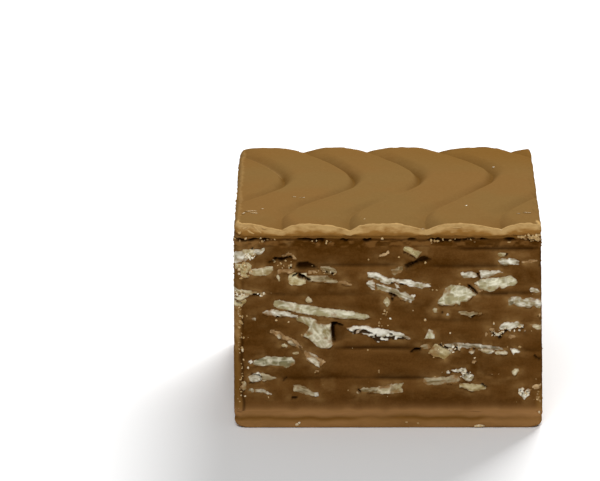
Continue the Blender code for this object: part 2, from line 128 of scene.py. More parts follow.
# Flakes bared on the front: kind, tilt of the grain in degrees, and the outline's corners across and up.
FRONT_SHARDS = (
    ("cream", 8, (-12.9, 16.3, -11.8, 16.4, -11.6, 15.8, -11.9, 15.6, -12.7, 15.7)),
    ("white", 30, (-10.85, 16.6, -10.8, 16.3, -11.1, 16, -11.4, 15.85, -11.9, 15.9, -11.95, 16.3, -11.4,
        16.35)),
    ("white", 50, (-12.2, 15.6, -12.5, 15.3, -13, 15.2, -13.2, 14.9, -13.6, 15, -13.6, 15.9, -13.3, 16.1,
        -12.9, 16.2)),
    ("yellow", -40, (-12, 14.9, -12.1, 14.5, -12.5, 14.1, -12.3, 13.8, -12.7, 13.7, -13, 13.9, -13.1, 14.5,
        -13.5, 14.3, -13.4, 14.9, -12.5, 15.2)),
    ("cream", 8, (-12.3, 14.3, -11.9, 14.6, -10.2, 14.8, -10.2, 14.4, -10.5, 14, -11, 13.9, -11.8, 13.9,
        -12.2, 14.1)),
    ("tan", 0, (-8.2, 14.5, -8.3, 14.2, -8.8, 14.1, -9.3, 14.2, -9.8, 14, -9.8, 14.6)),
    ("cream", 70, (-9.88, 14, -9.6, 13.9, -9.45, 13.4, -9.65, 13.35)),
    ("tan", -15, (-9.45, 15.75, -8.8, 16.1, -8.5, 16, -8.2, 15.7, -8, 15.6, -8.2, 15.4, -8.4, 15.45, -8.55,
        15.7, -8.8, 15.75, -9.2, 15.65)),
    ("cream", -60, (-10.3, 15.45, -9.95, 15.4, -9.8, 15.15, -10.1, 15.1)),
    ("cream", 60, (-8.6, 15.03, -8.45, 14.9, -8.65, 14.6, -8.8, 14.5, -8.9, 14.85)),
    ("yellow", 0, (-8.8, 13.9, -8.4, 14.2, -8.1, 14.2, -8, 13.9, -7.8, 13.7, -7.2, 13.5, -7.3, 13.2, -7.7,
        13, -8.5, 13, -8.8, 13.2)),
    ("cream", -20, (-7.95, 14.25, -7.2, 14.25, -7.05, 13.8, -7.35, 13.6, -7.55, 13.9)),
    ("tan", 0, (-7.15, 14.4, -6.5, 14.45, -6.2, 14.3, -6.3, 14.1, -7.1, 14.1)),
    ("cream", 80, (-6.25, 14.5, -6.02, 14.47, -6.05, 14.15, -6.25, 14.2)),
    ("smoky", -6, (-7.2, 14, -5.4, 13.9, -4.6, 13.6, -4.3, 13.2, -7.1, 13.4)),
    ("smoky", -12, (-6, 14.8, -5.4, 14.8, -4.7, 14.6, -4.5, 14.1, -5.2, 14, -6, 14.3)),
    ("tan", -8, (-4.6, 13.42, -3.8, 13.42, -3.1, 13.15, -2.9, 12.92, -4, 13.08)),
    ("cream", -8, (-13.6, 12.8, -11.3, 12.4, -11, 12.28, -12, 12.2, -13.6, 12.35)),
    ("cream", 25, (-12.15, 12.3, -12.4, 11.95, -13, 11.65, -13.6, 11.55, -13.6, 11.85, -12.9, 12.05, -12.4,
        12.35)),
    ("yellow", 14, (-12.55, 11.8, -12.4, 11.6, -12.9, 11.15, -13.6, 10.85, -13.6, 11.4, -12.9, 11.55)),
    ("cream", 0, (-7.42, 11.6, -7.3, 11.85, -7.05, 11.97, -6.8, 11.8, -6.72, 11.55, -7.1, 11.42)),
    ("creased", -9, (-10.2, 11.3, -10, 11.7, -9.6, 11.7, -6, 11, -4, 10.8, -1.7, 10.3, -1.6, 10.1, -2.1,
        9.9, -4.3, 10, -6, 10.2, -8, 10.5, -9, 10.8, -9.7, 10.9, -10.1, 11.1)),
    ("white", -10, (-11.1, 10.5, -10.6, 10.8, -10.1, 10.9, -8.7, 10.6, -8, 10.3, -8, 10, -9.3, 10.2, -10.6,
        10.2)),
    ("torn", -60, (-8.2, 10.2, -6.9, 10.1, -6.3, 9.9, -6.2, 9.6, -5.9, 9.5, -5.1, 9.5, -5, 7.9, -4.8,
        7.6, -5.2, 7.2, -5.9, 7.2, -6.3, 7.4, -7, 8.1, -7.5, 8.4, -7, 9.2, -7.7, 9.7, -8.1, 9.8)),
    ("white", 0, (-12.1, 10, -11.8, 10.2, -11.6, 10, -11.65, 9.75, -11.95, 9.75)),
    ("tan", -32, (-10.6, 8.9, -10.1, 9, -9.6, 8.8, -9.1, 8.4, -8.6, 8.3, -8.1, 8, -7.4, 7.1, -7.6, 7, -8.1,
        7.4, -8.6, 7.6, -9, 8, -9.5, 8.1, -10.4, 8.6)),
    ("core", -40, (-9.87, 8.42, -9.6, 8.5, -9.43, 8.2, -9.7, 8.08)),
    ("core", -28, (-8.92, 7.97, -8.5, 7.9, -8.05, 7.57, -8.2, 7.4, -8.6, 7.55, -8.9, 7.7)),
    ("cream", -10, (-9.5, 7.7, -9.1, 7.75, -8.85, 7.5, -9, 7.33, -9.4, 7.4)),
    ("cream", 10, (-7.85, 6.97, -7.88, 6.75, -8.2, 6.63, -8.45, 6.68, -8.47, 6.85, -8.1, 6.97)),
    ("tan", -38, (-7.5, 7, -7, 7, -5.5, 6, -6.1, 5.5, -6.4, 5.5, -7.2, 6.1, -7.4, 6.5)),
    ("core", -38, (-7.2, 6.3, -6.8, 6.4, -6.3, 6.3, -6, 5.9, -6.1, 5.5, -6.4, 5.6)),
    ("core", -25, (-6.92, 6.82, -6.3, 6.57, -6.2, 6.4, -6.8, 6.6)),
    ("tan", 0, (-6.5, 5.17, -6.1, 5.17, -6.13, 4.95, -6.4, 4.93)),
    ("mottled", 2, (-12, 5.8, -11.9, 6.1, -10.8, 6.5, -9, 6.5, -8.5, 6.4, -8.2, 6.1, -8.1, 5.8, -9, 5.4,
        -9.6, 5.6, -11.7, 5.6)),
    ("white", 60, (-12.1, 6.13, -11.95, 6, -12.15, 5.75, -12.32, 5.95)),
    ("smoky", -8, (-11.3, 5, -10.5, 4.8, -9.9, 4.5, -10.3, 4.3, -11.1, 4.2)),
    ("white", -5, (-12.3, 4.6, -11.5, 5, -11.1, 4.8, -11, 4.5, -11.3, 4.2, -11.8, 4.1, -12.2, 4.2)),
    ("white", 20, (-12.35, 3.62, -12, 3.57, -11.88, 3.25, -12.2, 3.22, -12.4, 3.4)),
    ("white", -15, (-11.75, 3.42, -11, 3.47, -10.5, 3.22, -10.33, 3, -10.6, 2.93, -11, 3.1, -11.7, 3.2)),
    ("smoky", -22, (-8.4, 3.9, -7.9, 3.9, -7.3, 3.7, -6.7, 3.2, -6.3, 3, -6.4, 2.8, -6.7, 2.8, -8.4, 3.3)),
    ("white", -5, (-6.9, 3.12, -6.2, 3.07, -6.12, 2.78, -6.88, 2.93)),
    ("pitted", -9, (-3.7, 9.1, -3.3, 9.3, -2, 9.3, 0.8, 8.8, 1.3, 8.6, 2, 8.1, 1.3, 8, 0.2, 8, -0.5, 7.8,
        -1.2, 7.8, -1.4, 8.1, -2, 8.5, -2.8, 8.6, -3.1, 8.5, -3.5, 8.8)),
    ("white", -12, (-1.9, 14.2, -1.4, 14.3, -0.3, 13.9, 0, 13.7, 0.3, 13.8, 0.8, 13.6, 2, 13.5, 3.6, 13.1,
        3.9, 12.9, 2.9, 12.7, 1.8, 12.9, 1.5, 13.1, 1, 13.1, 0.6, 13.3, -0.2, 13.1, -1.3, 13.7, -1.8,
        13.8)),
    ("white", -25, (-1.8, 13.5, -1.4, 13.5, -1.1, 13.2, -1.2, 12.7, -1.5, 12.7, -1.9, 13, -2, 13.2)),
    ("white", -22, (-1.1, 13.2, -0.5, 13.1, 0.7, 12.7, 1, 12.4, 1.5, 12.4, 1.9, 12.1, 2.4, 12.2, 2.2, 11.8,
        2.5, 11.7, 2.1, 11.6, 2, 11.3, 1.2, 11.7, 0.5, 12.2, -1, 12.6)),
    ("white", -60, (0.55, 13.22, 0.9, 13.05, 1, 12.78, 0.7, 12.83)),
    ("cream", -65, (-0.1, 12, 0.1, 11.8, 0.2, 11.4, -0.1, 11, -0.5, 11.5, -0.5, 11.8)),
    ("smoky", 0, (1.4, 14.6, 1.1, 14.2, 0.5, 13.9, 0.2, 14.2, 0.2, 14.6, 1.2, 14.8)),
    ("slate", -32, (1.2, 16.4, 1.5, 16.7, 3, 16.1, 2.5, 15.5, 2, 15.9, 1.3, 16.2)),
    ("tan", 20, (-0.87, 15.73, -0.5, 16, 0, 16.22, 0.12, 15.95, -0.2, 15.75, -0.7, 15.63)),
    ("cream", -10, (3.78, 10.75, 4.05, 10.97, 4.32, 10.87, 4.32, 10.6, 4, 10.48)),
    ("white", 2, (6.3, 14.2, 7.5, 14.3, 7.8, 14.1, 7.9, 13.8, 7.6, 13.7, 6.6, 13.7)),
    ("white", 4, (8, 14.4, 9.9, 14.4, 10.2, 14.2, 9.7, 14.1, 9.1, 13.8, 8.2, 13.7)),
    ("creased", 12, (11.5, 13.3, 11.2, 13, 10.6, 12.9, 10.1, 12.7, 9.8, 12.8, 9.4, 12.5, 9, 12.4, 8.1, 12.7,
        7.9, 13.1, 7.6, 13.2, 8.2, 13.6, 10.9, 13.9, 11.3, 13.6)),
    ("creased", 20, (7.9, 12.1, 7.5, 12, 6.9, 11.5, 6.4, 11.5, 6.3, 11.2, 6, 11.4, 5.7, 11.2, 4.6, 11.2,
        4.3, 11.4, 4.4, 11.7, 4.8, 12.1, 5, 12.7, 5.5, 13.1, 6.8, 13)),
    ("tan", -30, (7.5, 13.1, 7.9, 13, 8.1, 12.7, 8.5, 12.5, 8.3, 12.25, 7.95, 12.4)),
    ("tan", 0, (8.35, 12.25, 8.9, 12.22, 8.85, 12.05, 8.4, 12.07)),
    ("cream", -5, (9.58, 16, 10, 16.07, 10.4, 15.97, 10.45, 15.75, 10, 15.68, 9.7, 15.78)),
    ("white", 3, (9.8, 15.3, 10.2, 15.5, 10.6, 15.4, 10.8, 15.5, 11.3, 15.4, 11.6, 15.2, 11.6, 15, 10.3,
        14.8, 9.9, 14.9)),
    ("tan", 2, (11.55, 15.3, 12.1, 15.22, 12.6, 15.42, 13.3, 15.37, 13.3, 15.2, 11.9, 15.03)),
    ("white", -10, (12.47, 12.7, 12.9, 12.77, 13.3, 12.72, 13.55, 12.4, 13.2, 12.28, 12.6, 12.43)),
    ("white", -12, (10.6, 11.8, 10.9, 12, 11.5, 12, 12, 11.8, 12.6, 11.9, 13.1, 11.8, 13.6, 11.9, 13.6,
        10.9, 13.2, 10.9, 12.9, 11.1, 12.5, 10.9, 12, 11.1, 11.5, 11, 11.1, 11.2, 10.7, 11.1)),
    ("tan", 60, (13.5, 10.6, 13.6, 10.2, 13.4, 10.1, 13.2, 10.3)),
    ("smoky", -3, (5.6, 10.57, 6.5, 10.67, 7.5, 10.62, 8.35, 10.45, 8, 10.28, 7.6, 10.33, 7.3, 10.08, 7,
        10.2)),
    ("white", 60, (5.28, 10.55, 5.4, 10.3, 5.25, 10.15, 5.1, 10.4)),
    ("white", 5, (12, 9.4, 11.9, 9.2, 11, 9, 10.7, 8.8, 10.5, 9, 9.9, 8.9, 9.8, 9.1, 10, 9.4, 10.6, 9.8,
        10.8, 9.6, 11.3, 9.7)),
    ("white", 0, (9.33, 8.7, 9.6, 8.6, 9.97, 8.72, 9.92, 8.4, 9.7, 8.28, 9.48, 8.4)),
    ("tan", -40, (8.83, 9.2, 9.3, 9.22, 9.42, 8.9, 9.1, 8.63, 8.85, 8.9)),
    ("tan", 80, (8.75, 8.72, 8.82, 8.4, 8.6, 8.28, 8.52, 8.6)),
    ("tan", -20, (10.5, 8.4, 10.9, 8.62, 11.2, 8.42, 11.32, 8.2, 10.9, 8.08, 10.6, 8.18)),
    ("white", 0, (11.5, 8.97, 11.7, 8.97, 11.7, 8.75, 11.52, 8.75)),
    ("white", 0, (11.97, 8.97, 12.15, 8.95, 12.17, 8.77, 12, 8.75)),
    ("cream", -10, (12.4, 9.5, 13, 9.47, 13.6, 9.35, 13.6, 8.88, 13.1, 8.93)),
    ("creased", 75, (3.2, 8.1, 3.4, 8.7, 3.6, 9, 4, 8.9, 4.1, 8.6, 4.1, 8.1)),
    ("smoky", 8, (2.68, 7.4, 3.1, 7.62, 3.6, 7.57, 3.8, 7.3, 3.5, 7.13, 3.1, 7.18)),
    ("yellow", -30, (3.4, 6.8, 3.8, 7.2, 4.1, 7.7, 5.3, 7.1, 5.7, 6.8, 5.2, 6.4, 5, 6.1, 4.7, 6.3, 4.2,
        6.4)),
    ("grey", -5, (4.7, 7.62, 5.5, 7.68, 6, 7.77, 8, 7.62, 9, 7.52, 9.8, 7.37, 10.4, 7.1, 10.1, 7.03, 9,
        7.13, 8.3, 7.13, 7.5, 7.28, 7, 7.18, 6.5, 7.33, 6.3, 7.08, 6.1, 7.08, 6, 7.45, 5.8, 7.43, 5.75, 7,
        5.6, 6.78, 5.3, 6.88, 5.42, 7.2, 5.2, 7.42)),
    ("core", -6, (8, 7.1, 8.3, 7.22, 9, 7.12, 9.42, 7, 9.1, 6.73, 8.7, 6.68, 8.3, 6.88)),
    ("core", 0, (9.4, 6.85, 9.7, 7.02, 10.3, 7.02, 10.62, 6.85, 10.5, 6.63, 9.9, 6.58, 9.5, 6.58)),
    ("core", 10, (7.08, 6.9, 7.3, 7.17, 7.6, 7.05, 7.57, 6.75, 7.3, 6.63)),
    ("core", 80, (5.62, 7.6, 5.78, 7.55, 5.78, 7.05, 5.6, 7.1)),
    ("core", 80, (6.12, 7.65, 6.3, 7.6, 6.32, 7.08, 6.15, 7.08)),
    ("white", -15, (10.73, 7.2, 11.1, 7.22, 11.5, 7.07, 11.72, 6.9, 11.5, 6.73, 11.2, 6.78, 11.1, 6.43,
        10.93, 6.7, 10.88, 7)),
    ("tan", -20, (7.28, 6, 7.5, 6.17, 7.82, 6.12, 7.6, 5.78, 7.4, 5.83)),
    ("white", -20, (5.4, 5.2, 6.8, 5.4, 7, 5, 7.5, 4.8, 7.6, 4.5, 7.2, 4.2, 6.8, 4.2, 6.5, 4.5, 6.5, 5, 5.9,
        5)),
    ("white", 0, (5.08, 5.05, 5.3, 5.17, 5.45, 5, 5.2, 4.88)),
    ("smoky", 6, (3, 4.2, 3.1, 4.5, 5, 4.6, 5.8, 4.8, 6.3, 4.6, 6.4, 4.3, 6, 4, 5.2, 4, 4.4, 3.8, 3.4, 3.8,
        3.1, 4)),
    ("yellow", -9, (6.2, 4, 8, 3.9, 8.4, 3.8, 8.6, 3.5, 7.4, 3.2, 6.6, 3.6, 6.3, 3.6)),
    ("tan", -22, (8, 4.13, 8.4, 4.03, 8.75, 3.82, 8.7, 3.72, 8.3, 3.93, 8, 4)),
    ("tan", -10, (8.38, 5.2, 8.85, 4.97, 9.9, 4.9, 9.88, 4.73, 8.8, 4.82, 8.5, 5)),
    ("cream", 30, (11.5, 5.37, 11.62, 5.1, 11.3, 4.83, 11.15, 4.58, 11, 4.8, 10.88, 5.1, 11.1, 5.32)),
    ("white", -25, (11.4, 3.5, 11.8, 3.6, 12, 3.2, 12.3, 3.5, 12.6, 3.4, 12.5, 3, 12, 2.5, 11.5, 3, 11.6,
        3.2)),
    ("tan", 15, (12.6, 3.55, 13, 3.9, 13.6, 4, 13.6, 3.55, 13.1, 3.35)),
    ("smoky", 3, (-2.6, 3.4, -2.2, 3.6, -0.9, 3.6, -0.9, 3.1, -2.2, 3.1)),
    ("cream", 7, (1.3, 4, 1.1, 3.6, 1.3, 3.2, 0.2, 3, -0.7, 3, -1.1, 3.1, -1, 3.7, -0.1, 3.9)),
    ("cream", -60, (-2.8, 3.47, -2.55, 3.02, -2.72, 2.93, -2.93, 3.4)),
    ("cream", 60, (-12.7, 4.17, -12.5, 3.9, -12.43, 3.5, -12.8, 3.33, -13.05, 3.6, -12.9, 4)),
)

# The outlines above and below were read a little too large. Each of their mm is this many true mm
# across and up, and their zero is this high.
TRUE_ACROSS, TRUE_UP, TRUE_LIFT = 0.992, 0.99, 0.17

# Stains of flake dust and fat in the nougat, soft at the edge: strength, and outline.
FRONT_STAINS = (
    (0.5, (-11.5, 17.1, -11.8, 16.6, -13.4, 16.4, -13.4, 17.2)),
    (0.3, (-10.4, 14, -9.9, 13.9, -9.9, 13.4, -10.4, 13.3)),
    (0.35, (-8.9, 15.2, -8.8, 14.7, -10, 14.7, -9.9, 15.1)),
    (0.5, (-9.2, 17.1, -8.4, 17.1, -8.7, 16.6, -9, 16.8)),
    (0.3, (-12.4, 12.9, -10.9, 12.9, -10.9, 12.5, -12.3, 12.6)),
    (0.3, (-3.7, 12.2, -3.1, 12.2, -3.1, 11.7, -3.4, 11.7)),
    (0.85, (-6.3, 10.2, -4.8, 10, -5, 9.5, -6.1, 9.4)),
    (0.45, (-1.9, 14.1, -2, 13.8, -2.6, 13.8, -2.5, 14.1)),
    (0.4, (2.2, 16.9, 3.6, 16.6, 3.4, 15.9, 2.6, 16.3)),
    (0.4, (3.1, 9, 4.5, 9, 4.5, 8, 4.2, 7.7)),
    (0.5, (6.8, 11.6, 8.4, 11.9, 8.4, 11.7, 7.2, 11.3)),
    (0.4, (8.3, 12.3, 11.8, 12.2, 11.8, 12, 8.4, 12)),
    (0.45, (10.8, 16.2, 12.3, 16.2, 12.6, 15.7, 11.2, 15.5)),
    (0.35, (4.7, 11.2, 8.2, 10.9, 8.2, 10.6, 4.9, 10.8)),
    (0.3, (9.9, 9.6, 9.6, 8.1, 8.4, 8.3, 8.6, 9.4)),
    (0.3, (-3.4, 8.9, -3.4, 8, -4.3, 7.6, -4.4, 8.4)),
    (0.3, (-5.9, 4.4, -4.8, 4.3, -4.8, 3.2, -5.9, 3.6)),
    (0.35, (-9.2, 2.9, -8.6, 2.9, -8.6, 2.3, -9.1, 2.3)),
    (0.3, (8, 5.6, 8.6, 5.4, 8.4, 4.5, 7.8, 4.7)),
    (0.3, (10.8, 4.6, 10.6, 4, 8.9, 3.9, 8.8, 4.3)),
    (0.15, (13.6, 3.9, 13.6, 1.2, 13.2, 1.2, 13, 2.9, 12.6, 3.4, 13, 3.8)),
)

# Hollows: depth, how much shallower the right end is, how wide the slope of the wall is, and outline.
FRONT_HOLLOWS = (
    (0.5, 0, 0.12, (-10.15, 15.62, -9.5, 15.6, -9.2, 15.57, -8.9, 15.72, -8.5, 15.72, -8.45, 15.5, -9, 15.4,
        -9.4, 15.18, -9.8, 15.3, -10.1, 15.2, -10.8, 15, -10.8, 15.15, -10.1, 15.32)),
    (0.45, 0, 0.26, (-8.1, 15.2, -7.1, 15.3, -6.4, 14.9, -5.9, 14.4, -6.9, 14.5, -7.9, 14.4, -8.2, 14.7)),
    (0.7, 0, 0.08, (-7.92, 14.07, -7.4, 14.03, -7.2, 13.75, -6.88, 13.52, -7, 13.42, -7.45, 13.62, -7.6,
        13.57, -7.87, 13.8)),
    (0.5, 0, 0.06, (-8.55, 13.75, -8.42, 13.97, -8, 14.2, -7.7, 14.2, -7.7, 14.1, -7.98, 14.06, -8.3,
        13.86)),
    (0.45, 0, 0.08, (-8.7, 14.77, -8.5, 14.72, -8.55, 14.5, -8.7, 14.55)),
    (0.4, 0, 0.08, (-5.92, 14.45, -5.3, 14.27, -5.33, 14.1, -5.9, 14.3)),
    (0.4, 0, 0.06, (-5, 14.17, -4.8, 14.15, -4.85, 14.02, -5, 14.05)),
    (0.5, 0, 0.08, (-11.92, 12.27, -11.1, 12.22, -11.1, 12.08, -11.9, 12.08)),
    (0.2, 0, 0.08, (-11.1, 12.42, -9.2, 12.2, -9.1, 12.05, -11.1, 12.3)),
    (0.4, 0, 0.08, (-12.1, 16.5, -11.9, 16.5, -11.87, 16.3, -12.1, 16.3)),
    (0.3, 0, 0.08, (-13.3, 11.5, -12.8, 11.5, -12.9, 11.3, -13.2, 11.35)),
    (0.45, 0, 0.08, (-9.85, 10.2, -9.6, 10.2, -9.65, 10.05, -9.85, 10.07)),
    (0.8, 0, 0.06, (-5.06, 9.65, -4.4, 9.55, -3.95, 9.3, -4.5, 9.38, -4.74, 9.3, -4.74, 8.4, -4.66, 7.85,
        -4.85, 7.75, -5, 8.2)),
    (0.32, 1, 0.12, (-5, 9.5, -4.3, 9.4, -3.6, 8.9, -3.3, 8.3, -4, 7.9, -4.9, 7.8)),
    (0.45, 0, 0.08, (-0.15, 12.42, 0.3, 12.32, 0.8, 12.02, 0.5, 11.95, 0, 12.2)),
    (0.4, 0, 0.08, (0.22, 11.95, 0.42, 11.85, 0.4, 11.55, 0.25, 11.6)),
    (0.3, 0, 0.08, (0.2, 13.35, 0.5, 13.3, 0.45, 13.1, 0.2, 13.1)),
    (0.35, 0, 0.08, (0.9, 13.25, 1.3, 13.2, 1.6, 13, 1, 12.95)),
    (0.3, 0, 0.06, (1.35, 16.12, 2, 15.82, 2.45, 15.5, 2.4, 15.42, 1.9, 15.72, 1.35, 16.02)),
    (0.4, 0, 0.2, (0.9, 14.8, 2.3, 15.3, 2.9, 15.7, 3.3, 15.7, 3.8, 15.4, 3.6, 15.2, 2.2, 14.9, 1.8, 14.7,
        1.6, 14.4, 1.3, 14.8)),
    (0.6, 0, 0.06, (1.5, 14.6, 2.3, 15.1, 3.6, 15.42, 3.6, 15.3, 2.4, 14.95, 1.7, 14.55)),
    (0.7, 0, 0.08, (7, 13.12, 7.3, 12.97, 7.6, 12.67, 8.02, 12.2, 7.9, 12.12, 7.5, 12.47, 7.1, 12.83)),
    (0.4, 0, 0.06, (7.82, 14.15, 7.97, 14.12, 8.2, 13.6, 8.05, 13.58)),
    (0.35, 0, 0.08, (10.5, 15.97, 10.68, 15.95, 10.5, 15.65, 10.38, 15.68)),
    (0.2, 0, 0.15, (8.4, 16.6, 9, 16.8, 9.1, 16.6, 8.6, 16.35)),
    (0.35, 0, 0.08, (4.65, 10.65, 4.85, 10.65, 4.85, 10.3, 4.7, 10.35)),
    (0.3, 0, 0.06, (7.3, 10.12, 7.6, 10.25, 7.65, 10.15, 7.4, 10)),
    (0.55, 0, 0.07, (11.6, 9.1, 11.85, 9.27, 12.05, 9.2, 12, 9.02, 11.7, 9)),
    (0.5, 0, 0.08, (9.05, 8.75, 9.25, 8.75, 9.5, 8.3, 9.85, 8.28, 10.05, 8.7, 10.5, 8.95, 10.6, 8.8, 10.2,
        8.6, 9.95, 8.15, 9.5, 8.12)),
    (0.5, 0, 0.08, (1.93, 6.87, 2.3, 7.17, 2.6, 7.27, 3, 7.12, 2.8, 7.02, 2.4, 6.97, 2.1, 6.87)),
    (0.6, 0, 0.08, (4.5, 7.57, 4.9, 7.47, 5.42, 7.27, 5.2, 7.12, 4.8, 7.27)),
    (0.5, 0, 0.06, (5.92, 7.3, 6.08, 7.3, 6.07, 7.02, 5.93, 7.02)),
    (0.45, 0, 0.06, (7.5, 7.22, 7.75, 7.2, 7.7, 7.02, 7.5, 7.03)),
    (0.4, 0, 0.06, (5.43, 5.1, 5.6, 5.07, 5.6, 4.9, 5.45, 4.9)),
    (0.3, 0, 0.06, (6.5, 5.15, 6.62, 5.1, 6.85, 4.6, 6.72, 4.6)),
    (0.3, 0, 0.06, (6.95, 5.05, 7.15, 4.8, 7.1, 4.75, 6.9, 4.95)),
    (0.5, 0, 0.06, (8.17, 3.92, 8.35, 3.9, 8.65, 3.62, 8.5, 3.57)),
    (0.5, 0, 0.07, (-2.75, 3.47, -2.6, 3.42, -2.3, 3.07, -2.5, 3.02)),
    (0.35, 0, 0.08, (-8.57, 2.77, -8, 2.77, -8.07, 2.5, -8.5, 2.5)),
    (0.4, 0, 0.06, (-12, 4.85, -11.4, 4.85, -11.1, 4.6, -11.3, 4.3, -11.25, 4.55, -11.5, 4.72, -12, 4.78)),
    (0.3, 0, 0.06, (-12.1, 4.9, -11.95, 4.87, -11.97, 4.72, -12.1, 4.75)),
    (0.3, 0, 0.06, (-12.3, 4.1, -11.6, 3.98, -11.6, 3.9, -12.3, 3.98)),
    (0.3, 0, 0.06, (-9.35, 4.22, -9, 4.5, -8.97, 4.4, -9.25, 4.17)),
    (0.3, 0, 0.06, (-8.02, 7.55, -7.85, 7.45, -7.6, 7.17, -7.7, 7.12)),
    (0.35, 0, 0.08, (12.82, 6.65, 12.95, 6.62, 13.1, 6.4, 13.5, 6.3, 13.5, 6.12, 13, 6.2)),
)

# Flakes on the left side, as seen from outside: across, height, length, thickness, tilt and kind.
LEFT_FLAKES = (
    (-8.8, 16.4, 2.8, 0.5, -13, "white"),
    (-6.6, 15.1, 1.9, 0.8, -10, "cream"),
    (-7.6, 13.3, 1.7, 0.7, -25, "white"),
    (-6.5, 13.1, 1.4, 0.55, 1, "cream"),
    (-8.0, 11.9, 2.2, 0.9, 0, "white"),
    (-4.4, 14.0, 3.4, 0.4, -9, "smoky"),
    (-9.7, 10.2, 5.5, 0.85, -4, "creased"),
    (-5.7, 10.8, 0.9, 0.55, -11, "cream"),
    (-9.9, 7.7, 4.5, 0.85, -11, "creased"),
    (-10.2, 5.7, 3.6, 0.66, -4, "tan"),
    (-6.9, 5.1, 2.4, 0.66, -22, "cream"),
    (-4.2, 4.5, 2.7, 0.4, -4, "tan"),
    (-3.2, 9.1, 2.5, 0.6, -24, "grey"),
    (-0.8, 7.5, 2.8, 0.85, 3, "pitted"),
    (1.7, 7.3, 1.9, 0.75, -88, "tan"),
    (-1.0, 11.6, 2.8, 0.34, -1, "tan"),
    (1.1, 14.0, 3.0, 0.75, -20, "mottled"),
    (1.9, 15.1, 1.5, 0.6, -30, "cream"),
    (-0.1, 16.7, 1.7, 0.34, -5, "tan"),
    (4.5, 12.2, 1.6, 0.75, -14, "white"),
    (6.4, 15.4, 2.7, 0.85, -8, "mottled"),
    (10.3, 16.1, 3.0, 0.66, -2, "cream"),
    (7.9, 16.3, 1.4, 0.45, -24, "white"),
    (9.9, 14.8, 2.9, 0.85, -9, "pitted"),
    (9.2, 14.0, 1.6, 0.42, -14, "tan"),
    (5.9, 13.8, 1.6, 0.45, -3, "tan"),
    (10.6, 12.7, 2.9, 0.5, -2, "cream"),
    (2.6, 11.3, 2.2, 0.45, -4, "smoky"),
    (-0.2, 6.0, 1.2, 0.4, -75, "tan"),
    (3.2, 5.3, 1.2, 0.75, 3, "tan"),
    (6.9, 8.0, 2.3, 0.45, 4, "smoky"),
    (6.5, 2.4, 0.7, 0.4, -88, "white"),
    (8.2, 2.6, 1.1, 0.42, -11, "cream"),
    (9.6, 2.9, 1.1, 0.55, -21, "white"),
    (11.2, 2.2, 1.4, 0.36, 1, "grey"),
)

# Hollows on the left side: across, height, length, height of the mouth, tilt and depth.
LEFT_HOLLOWS = (
    (-10.5, 3.2, 1.05, 1.05, 0, 1.0),
    (-5.0, 11.9, 1.6, 0.36, -10, 0.5),
    (3.4, 14.5, 1.8, 0.36, -14, 0.5),
    (8.6, 15.4, 1.6, 0.34, -8, 0.5),
    (-8.0, 14.2, 1.6, 0.3, 8, 0.5),
    (2.3, 8.4, 0.9, 0.3, 30, 0.4),
    (-4.6, 8.3, 1.2, 0.24, -12, 0.4),
)

# Flakes on the other two sides are drawn by the rule that the solid follows.
DRAWN_ROWS = (3.4, 5.4, 7.5, 9.6, 11.6, 13.6, 15.6)
DRAWN_SEEDS = {"right": 11, "back": 23}
STREWN_ACROSS, STREWN_UP = (-12.6, 12.6), (2.6, 16.4)

# Kinds of flake: raggedness, how far they stand out, their cover of chocolate, and their two colours.
Kind = collections.namedtuple("Kind", "ragged proud cover deep pale")
KINDS = {
    "white": Kind(0.16, 0.1, 0.1, (0.29, 0.235, 0.13), (0.80, 0.765, 0.64)),
    "core": Kind(0.1, 0.17, 0.0, (0.38, 0.30, 0.16), (0.76, 0.70, 0.54)),
    "pitted": Kind(0.1, 0.1, 0.0, (0.31, 0.26, 0.155), (0.80, 0.765, 0.65)),
    "creased": Kind(0.1, 0.1, 0.05, (0.36, 0.315, 0.17), (0.80, 0.765, 0.59)),
    "torn": Kind(0.1, 0.12, 0.15, (0.26, 0.205, 0.09), (0.70, 0.655, 0.485)),
    "cream": Kind(0.14, 0.09, 0.1, (0.29, 0.215, 0.09), (0.71, 0.635, 0.44)),
    "mottled": Kind(0.08, 0.08, 0.1, (0.19, 0.165, 0.08), (0.62, 0.575, 0.42)),
    "slate": Kind(0.05, 0.1, -0.2, (0.33, 0.26, 0.11), (0.58, 0.50, 0.28)),
    "yellow": Kind(0.13, 0.09, 0.1, (0.30, 0.21, 0.075), (0.69, 0.61, 0.38)),
    "grey": Kind(0.08, 0.07, 0.0, (0.15, 0.12, 0.065), (0.68, 0.635, 0.51)),
    "smoky": Kind(0.1, 0.06, 0.25, (0.17, 0.115, 0.045), (0.47, 0.395, 0.25)),
    "tan": Kind(0.13, 0.01, 0.25, (0.19, 0.095, 0.028), (0.56, 0.385, 0.20)),
}
SHARED_KINDS = ("white", "cream", "creased", "cream", "mottled", "yellow", "tan", "smoky", "pitted", "tan")


def hashed(cell, seed):
    """A fixed number from 0 to 1 for each whole-numbered place."""
    number = cell[:, 0] * 73856093 ^ cell[:, 1] * 19349663 ^ cell[:, 2] * 83492791 ^ seed * 2654435761
    number &= 0xFFFFFFFF
    number = (number ^ number >> 15) * 2246822519 & 0xFFFFFFFF
    number = (number ^ number >> 13) * 3266489917 & 0xFFFFFFFF
    return (number ^ number >> 16) / 0xFFFFFFFF


def noise(points, size, seed):
    """Smooth noise from -1 to 1 whose lumps are about this size, or these three sizes."""
    scaled = points / np.asarray(size, float) + 512.37
    cell = np.floor(scaled).astype(np.int64)
    share = scaled - cell
    share = share * share * share * (share * (share * 6 - 15) + 10)
    total = np.zeros(len(points))
    for corner in itertools.product((0, 1), repeat=3):
        weight = np.prod(np.where(corner, share, 1 - share), axis=1)
        total += weight * hashed(cell + np.array(corner), seed)
    return 2 * total - 1


